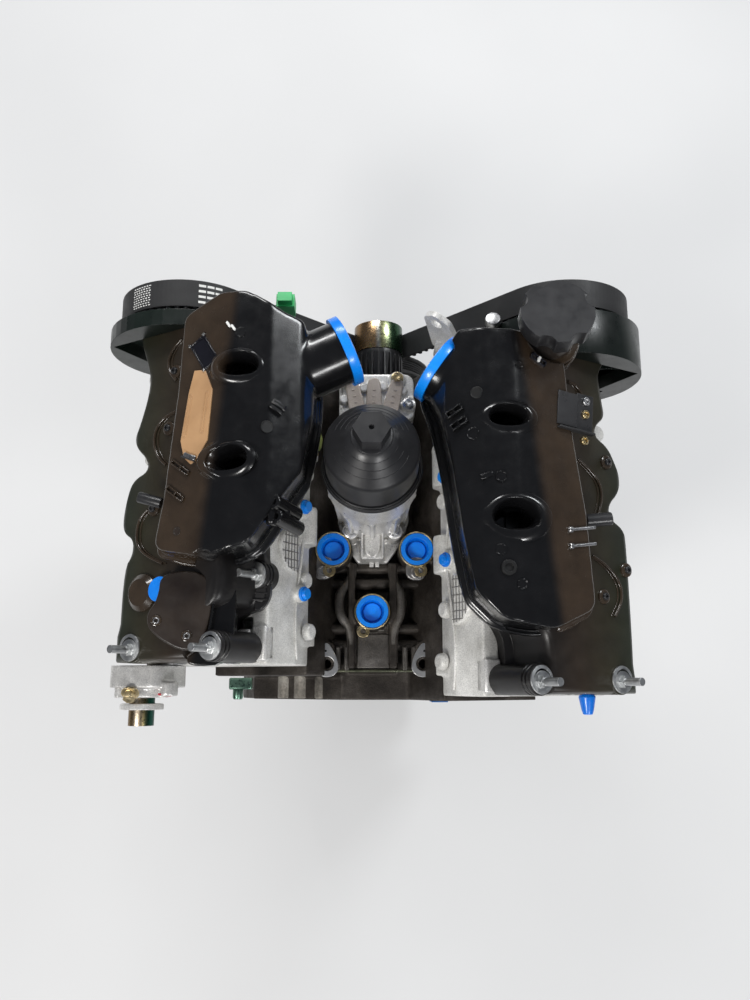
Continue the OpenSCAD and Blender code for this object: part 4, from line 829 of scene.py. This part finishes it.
def manifold_details():
    for k, (x, y) in enumerate([(-30, 340), (24, 341), (36, 312)]):
        bolt(f"manifold_bolt_{k}", moved(x, y, 290), 9, BRASS if k == 1 else STEEL, slot="bright_steel")
    for k, (x, turn) in enumerate([(-22, 12), (-1, 0), (20, -14)]):
        at = moved(x, 320, 288) @ rotated(turn)
        pad = smooth_loop([(-9, -26), (9, -26), (8, 8), (6, 21), (-6, 21), (-8, 8)], 2)
        prism(f"manifold_pad_{k}", pad, -3, 4.2, at, TAUPE, bevel=1.6, segments=3)
        for j, v in enumerate((-14, -7, 0, 7)):
            block(f"manifold_nib_{k}_{j}", (-1.6, v - 1, 4), (1.6, v + 1, 4.8), at, TAUPE, bevel=0.3)
    bosses = ((-12, 331, 5), (9, 333, 5), (9, 306, 4.6), (30, 328, 5), (-33, 318, 5), (-10, 306, 4))
    for k, (x, y, r) in enumerate(bosses):
        revolve(f"manifold_boss_{k}", [(0, -4), (r + 1, -4), (r, 3), (r * 0.7, 4), (0, 4)],
                moved(x, y, 285), BRIGHT_CAST, steps=28)
    revolve("hub_ring", [(9, 0), (15, 0), (16, 3), (14, 5), (9, 5)], along((4, 344, 262), (0, 0.8, 0.6)),
            BLACK_STEEL)


# Ports in the valley: plated collars with lugs and rings
def port_details():
    port_r = 16.5
    for k, (x, y, z) in enumerate([(-46, 162, 233), (46, 162, 233), (-3, 95, 222)]):
        ring = [(px, py, z + 6.2) for px, py in circle(x, y, port_r + 2.2, steps=60)]
        bead(f"port_ring_{k}", ring, 0.9, BRASS, closed=True)
        cup_r = port_r - 6.6
        cup = [(0, -8.6), (cup_r - 0.6, -8.6), (cup_r, -8), (cup_r - 0.6, -7.6), (0, -7.6)]
        revolve(f"port_cup_{k}", cup, moved(x, y, z + 4.6), BLUE_DEEP, steps=48)
    for k, (x, y, z) in enumerate([(-57, 139, 233), (46, 138, 233)]):
        outline = smooth_loop([(-11, -9), (9, -10), (11, 8), (8, 16), (-8, 16), (-13, 6)], 2)
        prism(f"port_lug_{k}", outline, -6, 1.2, moved(x, y, z), STEEL_DULL, bevel=1.2)
        revolve(f"port_lug_ring_{k}", [(4.4, 0), (7.4, 0), (7.4, 2.4), (6.4, 3), (4.4, 3)],
                moved(x, y - 1, z + 1), STEEL_DULL, steps=32, bevel=0.3)
        revolve(f"port_lug_floor_{k}", [(0, 0), (4.5, 0), (4.5, 0.8), (0, 0.8)], moved(x, y - 1, z + 1),
                STEEL, steps=24)


# Valley: machined ears, central panel, webs, walls, cross ribs and a ledge
def valley_details():
    for side in (-1, 1):
        ear = [(-13, -9), (-9, -16), (0, -19), (9, -16), (13, -9), (11, 4), (5, 17), (0, 19), (-5, 17),
               (-11, 4)]
        at = moved(side * 53, 43, 215) @ rotated(-side * 6)
        outline = smooth_loop(ear, 2)
        hole = circle(0, -4, 7.6, steps=len(outline))
        plate_with_hole(f"valley_ear_{side}", outline, hole, 0, 2.2, at, MACHINED)
        revolve(f"valley_ear_cone_{side}", [(7.8, 2.0), (5.2, -5), (5.2, -9), (7.9, -9)],
                at @ moved(0, -4, 0), TURNED, steps=40)
        # a thin near-black disc: painted shade, drawn flat in place of a recess at the pin
        revolve(f"valley_ear_pin_{side}", [(0, 2.25), (1.3, 2.25), (1.3, 2.4), (0, 2.4)],
                at @ moved(0, 10, 0), RECESS_SHADE, slot="block_iron", steps=20)
    for k, y in enumerate((60, 78, 128, 146)):
        bead(f"valley_web_{k}", [(-56, y, 199), (54, y, 199)], 6.5, IRON)
    for k, x in enumerate((-26, 20)):
        bulge = x * 1.5 - 1
        wall = [(x, 40, 210), (x, 78, 212), (bulge, 92, 214), (bulge, 118, 212), (x, 132, 208), (x, 150, 206)]
        bead(f"valley_wall_{k}", smooth_path(wall), 5.2, IRON_WORN)
    block("valley_tag_pad", (-20, 34, 206), (16, 72, 209.5), WORLD, IRON_WORN, bevel=1.6)
    for k, x in enumerate((-44, -34, 30, 40)):
        block(f"valley_rib_{k}", (x, 30, 196), (x + 6, 58, 212), WORLD, IRON_WORN, bevel=1.8)
    block("valley_ledge", (-46, 30, 209), (46, 33, 212), WORLD, OLIVE_IRON, bevel=1)
    bead("valley_cast_mark_0", [(-10, 76, 209), (10, 76, 209)], 1.2, IRON_WORN)


def plate_with_hole(name, outline, hole, z0, z1, at_frame, material, bevel=0.5):
    """A plate between two loops of as many points, the second a hole."""
    n = len(outline)
    start = min(range(n), key=lambda i: math.dist(outline[i], hole[0]))
    outline = outline[start:] + outline[:start]
    if loop_area(outline) < 0:
        outline = [outline[0]] + outline[:0:-1]
    points = [at_frame @ Vector((x, y, z)) for z in (z0, z1) for loop in (outline, hole) for x, y in loop]
    faces = []
    for i in range(n):
        j = (i + 1) % n
        faces += [(i, j, n + j, n + i), (2 * n + i, 3 * n + i, 3 * n + j, 2 * n + j),
                  (i, 2 * n + i, 2 * n + j, j), (n + i, n + j, 3 * n + j, 3 * n + i)]
    return mesh_piece(name, points, faces, material, bevel)


# Bare tag on the bell flange
def flange_tag():
    at = moved(72, -1.2, 176) @ rotated(90, "X")
    block("flange_tag", (-9, -24, 0), (9, 18, 1.2), at, BLUE_TAG, bevel=0.3)
    for k, x in enumerate((-4, 4)):
        low, high = (x - 2.6, -22, 1.1), (x + 2.6, 12, 1.5)
        block(f"flange_tag_bar_{k}", low, high, at, WHITE_PRINT_AND_HIGHLIGHT, bevel=0.2, slot="block_iron")


# Timing end: printed dashes on the belt's back, over the left cam wheel
CAM_AT = (-202.045, 281.952)
BELT_R = 74.8
BELT_Y = (397, 421)
BELT_FIELDS = (("a", 112, 131, 9, 7, 0.28, 1.1), ("b", 54, 74, 4, 3, 0.42, 2.6))


def belt_marks():
    """Fields of dashes; each has its arc in degrees, its rows and cells, and a dash's share and height."""
    for name, a0, a1, rows, cells, fill, tall in BELT_FIELDS:
        width = (a1 - a0) / cells
        for i in range(rows):
            y = BELT_Y[0] + (i + 0.5) * (BELT_Y[1] - BELT_Y[0]) / rows
            offset = width * 0.25 if i % 2 and name == "a" else 0
            for j in range(cells):
                mid = a0 + (j + 0.5) * width + offset
                arc_mark(f"belt_mark_{name}_{i}_{j}", mid - width * fill, mid + width * fill, y, tall)


def arc_mark(name, a0, a1, y, width):
    """A printed dash on the belt's back, a hair above it."""
    points = []
    steps = 3
    for r in (BELT_R, BELT_R + 0.25):
        for x, z in circle(*CAM_AT, r, a0, a1, steps):
            points += [(x, y - width / 2, z), (x, y + width / 2, z)]
    row = 2 * (steps + 1)
    faces = [(0, row, row + 1, 1), (row - 2, row - 1, 2 * row - 1, 2 * row - 2)]
    for i in range(0, row - 2, 2):
        faces += [(i, i + 1, i + 3, i + 2), (row + i, row + i + 2, row + i + 3, row + i + 1),
                  (i, i + 2, row + i + 2, row + i), (i + 1, row + i + 1, row + i + 3, i + 3)]
    mesh_piece(name, points, faces, WHITE_PRINT_AND_HIGHLIGHT, slot="belt_rubber")


# Rear end: breather cover, studs, plugs, pump fittings
def breather_top(x, y):
    """Height of the breather cover's lid, which rises a little inboard."""
    return 378 + (x + 150) * 0.05


def breather_cover():
    plate = [(-199, 122), (-147, 119), (-154, 58), (-171, 44), (-205, 62), (-212, 79), (-201, 94)]
    prism("breather_cover", smooth_loop(plate), lambda x, y: breather_top(x, y) - 16, breather_top,
          WORLD, BROWN, 1.8, 3)
    side = [(-150, 121), (-130, 121), (-129, 96), (-131, 36), (-173, 33), (-172, 46), (-154, 58)]
    prism("breather_side", smooth_loop(side, 2), 352, 370, WORLD, GLOSS, bevel=1.6, segments=3)
    edge = smooth_path([(-145.5, 118, 378), (-152, 60, 377.6), (-156, 55, 377.4), (-171, 42.5, 376.5)], 2)
    bead("breather_edge", edge, 1.1, GLOSS)
    for k, (x, y) in enumerate([(-201, 75), (-172, 61)]):
        at = moved(x, y, breather_top(x, y))
        revolve(f"breather_well_{k}", [(3.4, 0), (5.2, 0), (5, 0.9), (4.2, 1.2), (3.4, 0.6)], at, GLOSS,
                steps=28)
        socket_screw(f"breather_screw_{k}", at @ moved(0, 0, -1), 3.4, STEEL, 2.4)
    plug_at = along((-202, 105, 360), (-0.42, 0.1, 0.9))
    revolve("breather_plug", [(0, 0), (11, 0), (12, 1), (12, 4), (0, 4)], plug_at, BLUE, bevel=0.4)
    revolve("breather_dome", [(0, -6), (19, -6), (18, 3), (13, 7), (0, 8)], on_cover(-224, 104), GLOSS,
            steps=44)
    half = [(13 * x, 20 * y) for x, y in circle(0, 0, 1, -100, 100, 20)]
    at = moved(-113, 106, 342)
    prism("breather_side_pad", half, -20, 6, at, COVER, bevel=1.2)
    for k, v in enumerate((-9, -3, 3, 9)):
        block(f"breather_side_rib_{k}", (-4, v - 0.8, 5), (10, v + 0.8, 8), at, COVER, bevel=0.4)
    for k, y in enumerate((106, 117)):
        block(f"breather_slot_{k}", (-146, y, 366), (-134, y + 1.6, 371.4), WORLD, STEEL, bevel=0.3)


def pump_details():
    bolt("pump_bolt", along((-243, 9, 297), (0.05, -0.75, 0.65)), 11, BRASS, 0.8)
    bead("pump_paint", [(-214, 8, 300), (-208, 7, 292), (-206, 6.4, 282), (-212, 6, 268)], 1.1, RED)
    shaft_x, shaft_z = -240, 262
    revolve("pump_collar", [(13.2, 0), (21, 0), (22, 1.6), (22, 6), (13.2, 6)],
            along((shaft_x, -2, shaft_z), (0, -1, 0)), BRIGHT_CAST, 56, 0.5)
    for k, (x, z) in enumerate(circle(shaft_x, shaft_z, 25, 20, 380, 3)):
        lug_at = along((x, 4, z), (0, 1, 0))
        revolve(f"pump_lug_{k}", [(0, 0), (5, 0), (5, 10), (0, 10)], lug_at, BRIGHT_CAST, 24, 0.8)


def small_plugs():
    stub = (0.15, 0.92, 0.35)
    revolve("olive_cap", [(0, -9), (9, -9), (10.5, -5), (10.5, 4), (8, 9), (4, 11), (0, 11.5)],
            along((-66, 268, 298), stub), OLIVE, stretch=(1, 0.9))
    revolve("olive_base", [(0, 0), (8, 0), (8.6, 2), (7, 6), (0, 6)], along((-68, 254, 295), stub), BRASS, 32)
    revolve("rear_taper_plug", [(0, 0), (7, 0), (8.5, 3), (6, 16), (4.6, 20), (0, 20)],
            along((212, 8, 290), (0, -1, 0)), BLUE, steps=36, bevel=0.5)
    revolve("green_dowel", [(0, 0), (5, 0), (5.4, 1), (5.4, 12), (4.4, 14), (0, 14)],
            along((-143, 16, 252), (0, -1, 0)), GREEN_STEEL, steps=32)
    block("dowel_bracket", (-152, 12, 248), (-128, 24, 258), WORLD, GREEN_STEEL, bevel=1.6)
    revolve("front_dowel", [(0, 0), (7.6, 0), (8.2, 1), (8.2, 9), (7.4, 11), (5, 11.6), (0, 11.6)],
            along((124, 388, 325), (-0.1, 0.2, 0.97)), STEEL, steps=36)


def filler_details():
    for k in range(2):
        revolve(f"filler_ring_{k}", [(22, 0), (28.5, 0), (29.4, 1), (28.5, 2.6), (22, 2.6)],
                FILLER @ moved(0, 0, 18 + 8 * k), GLOSS, steps=56)


# Scalloped outer edge of the heads: alloy bosses that peek out below the covers
def head_bosses(side):
    at = bank(side)
    for k, y in enumerate(CYL_Y):
        for j, v in enumerate((-34, 0, 34)):
            revolve(f"head_boss_{side}_{k}_{j}", [(0, 0), (8, 0), (9, 2), (9, 20), (0, 20)],
                    at @ moved(84, y + v, CAM_W - 18), ALLOY, steps=28, bevel=1)


# Inner faces of the heads: netted lobes, seam, bosses and the pads at the rear end
LOBES = {-1: (152, 231), 1: (198, 101)}
PADS = {-1: ((-80, -63, 9, 44), (-61, -45, 9, 40)), 1: ((-80, -61, 9, 42),)}


def chord(half_length, half_span, at):
    """Half the length of an oval's chord at a distance from its middle."""
    return half_length * math.sqrt(max(0, 1 - (at / half_span) ** 2))


def head_faces(side):
    name = "left" if side < 0 else "right"
    shift = BANK_SHIFT if side < 0 else 0
    face = bank(side) @ moved(-HEAD_IN, 0, 0) @ Matrix.Rotation(-math.pi / 2, 4, "Y")
    lobe_w, net_h, net_r = 302, 5.2, 0.5
    for k, world_y in enumerate(LOBES[side]):
        y = world_y - shift
        disc = [(lobe_w + 30 * u, y + 26 * v) for u, v in circle(0, 0, 1, -90, 90, 18)]
        prism(f"head_lobe_{name}_{k}", smooth_loop(disc, 1), -2, 5, face, ALLOY, 2.2, 3)
        for i in range(6):
            v = y - 20 + 8 * i
            ends = [face @ Vector((w, v, net_h)) for w in (lobe_w + 1, lobe_w + chord(28, 26, v - y))]
            bead(f"head_net_{name}_{k}_{i}", ends, net_r, STEEL_DULL, slot="cast_alloy")
        for i in range(5):
            w = lobe_w + 3 + 5 * i
            reach = chord(24, 30, w - lobe_w)
            ends = [face @ Vector((w, v, net_h)) for v in (y - reach, y + reach)]
            bead(f"head_row_{name}_{k}_{i}", ends, net_r, STEEL_DULL, slot="cast_alloy")
    seam = [face @ Vector((294 + 6 * math.sin(v / 31), v, 0.6)) for v in range(12, 350, 14)]
    bead(f"head_seam_{name}_0", seam, 1.3, ALLOY)
    for k, v in enumerate((40, 92, 150, 205, 262, 318)):
        revolve(f"head_boss_face_{name}_{k}", [(0, -2), (9, -2), (8, 4), (6, 5.4), (0, 5.4)],
                face @ moved(276 + 8 * (k % 2), v, 0), ALLOY, 32, 0.6)
    for k, (x0, x1, y0, y1) in enumerate(PADS[side]):
        block(f"head_pad_{name}_{k}", (x0, y0, CAM_W - 12), (x1, y1, CAM_W + 3), bank(side), BRIGHT_CAST, 2.4)


# Rear flange: columns and panel of the casting
def flange_details():
    bell_r, sunk = 178, 4
    for k, x in enumerate((-127, -104, -84, -60, -42, 42)):
        at = along((x, 1, math.sqrt(bell_r ** 2 - x ** 2) - sunk), (0, 1, 0))
        revolve(f"flange_column_{k}", [(0, 0), (9, 0), (10, 1), (10, 27), (9, 28), (0, 28)], at, SPECK, 32)
    block("flange_panel", (-27, 1, 174), (27, 29, 180.4), WORLD, SPECK, bevel=1.6)


# New pieces
tan_plate()
left_plenum_details()
right_plenum_details()
for x, y, rx, ry in FUNNELS:
    funnel_lip(f"funnel_lip_{int(x)}_{int(y)}", on_crown(x, y), rx, ry, x > 0)
for side in (-1, 1):
    plenum_flange(side)
    cover_shell(side)
    head_bosses(side)
    head_faces(side)
    stud_details(side)
flange_details()
cover_details()
filter_details()
manifold_details()
port_details()
valley_details()
flange_tag()
belt_marks()
breather_cover()
pump_details()
small_plugs()
filler_details()


# Camera, floor and light
camera = bpy.data.objects.new("camera", bpy.data.cameras.new("camera"))
bpy.context.scene.collection.objects.link(camera)
camera.location = (0.0, 0.021, 1.162)
camera.rotation_euler = (math.radians(12), 0, 0)
camera.data.lens = 30.6
camera.data.sensor_width = 36
camera.data.clip_start = 0.02
bpy.context.scene.camera = camera

floor_mesh = bpy.data.meshes.new("floor")
floor_mesh.from_pydata([(-4, -4, 0), (4, -4, 0), (4, 4, 0), (-4, 4, 0)], [], [(0, 1, 2, 3)])
floor = bpy.data.objects.new("floor", floor_mesh)
floor.location = (0, 0.2, cad_low.z - 0.0005)
bpy.context.scene.collection.objects.link(floor)
FLOOR = Mat("pale_floor", 0.85)
FLOOR.colour(FLOOR.ramp(FLOOR.noise(3, 2), (0.3, 0.6), (0.7, 0.62)))
shine = FLOOR.maths("MULTIPLY_ADD", FLOOR.add("LightPath").outputs["Is Camera Ray"], 0.05, 0.05)
glow = FLOOR.add("Emission", Color=(1, 1, 1, 1))
FLOOR.link(shine, glow.inputs["Strength"])
total = FLOOR.add("AddShader")
FLOOR.link(FLOOR.bsdf.outputs["BSDF"], total.inputs[0])
FLOOR.link(glow.outputs["Emission"], total.inputs[1])
FLOOR.link(total.outputs[0], FLOOR.tree.nodes["Material Output"].inputs["Surface"])
floor.data.materials.append(FLOOR.mat)

world = bpy.data.worlds.new("studio")
bpy.context.scene.world = world
world.use_nodes = True
nodes, links = world.node_tree.nodes, world.node_tree.links
choice = nodes.new("ShaderNodeMixShader")
links.new(nodes.new("ShaderNodeLightPath").outputs["Is Glossy Ray"], choice.inputs["Fac"])
for k, (colour, strength) in enumerate((((0.95, 0.97, 1.0, 1), 0.5), ((0.8, 0.86, 1.0, 1), 0.1))):
    sky = nodes.new("ShaderNodeBackground")
    sky.inputs["Color"].default_value = colour
    sky.inputs["Strength"].default_value = strength
    links.new(sky.outputs["Background"], choice.inputs[k + 1])
links.new(choice.outputs[0], nodes["World Output"].inputs["Surface"])


def lamp(name, at, to, size, power, colour=(1, 1, 1)):
    data = bpy.data.lights.new(name, "AREA")
    data.shape = "RECTANGLE"
    data.size, data.size_y = size
    data.energy = power
    data.color = colour
    obj = bpy.data.objects.new(name, data)
    obj.location = at
    obj.rotation_euler = (Vector(to) - Vector(at)).to_track_quat("-Z", "Y").to_euler()
    bpy.context.scene.collection.objects.link(obj)


lamp("front", (-0.4, 1.8, 1.5), (0, 0.2, 0.2), (0.9, 0.3), 18)
lamp("key", (-1.0, -1.0, 1.8), (0, 0.2, 0.2), (0.5, 0.5), 22, (1.0, 0.98, 0.95))
lamp("fill", (1.2, 1.4, 1.6), (0, 0.2, 0.2), (0.5, 0.4), 14, (0.95, 0.98, 1.0))
lamp("rear", (0.7, -1.2, 1.6), (0, 0.1, 0.2), (0.6, 0.3), 12)

bpy.context.scene.view_settings.view_transform = "Standard"
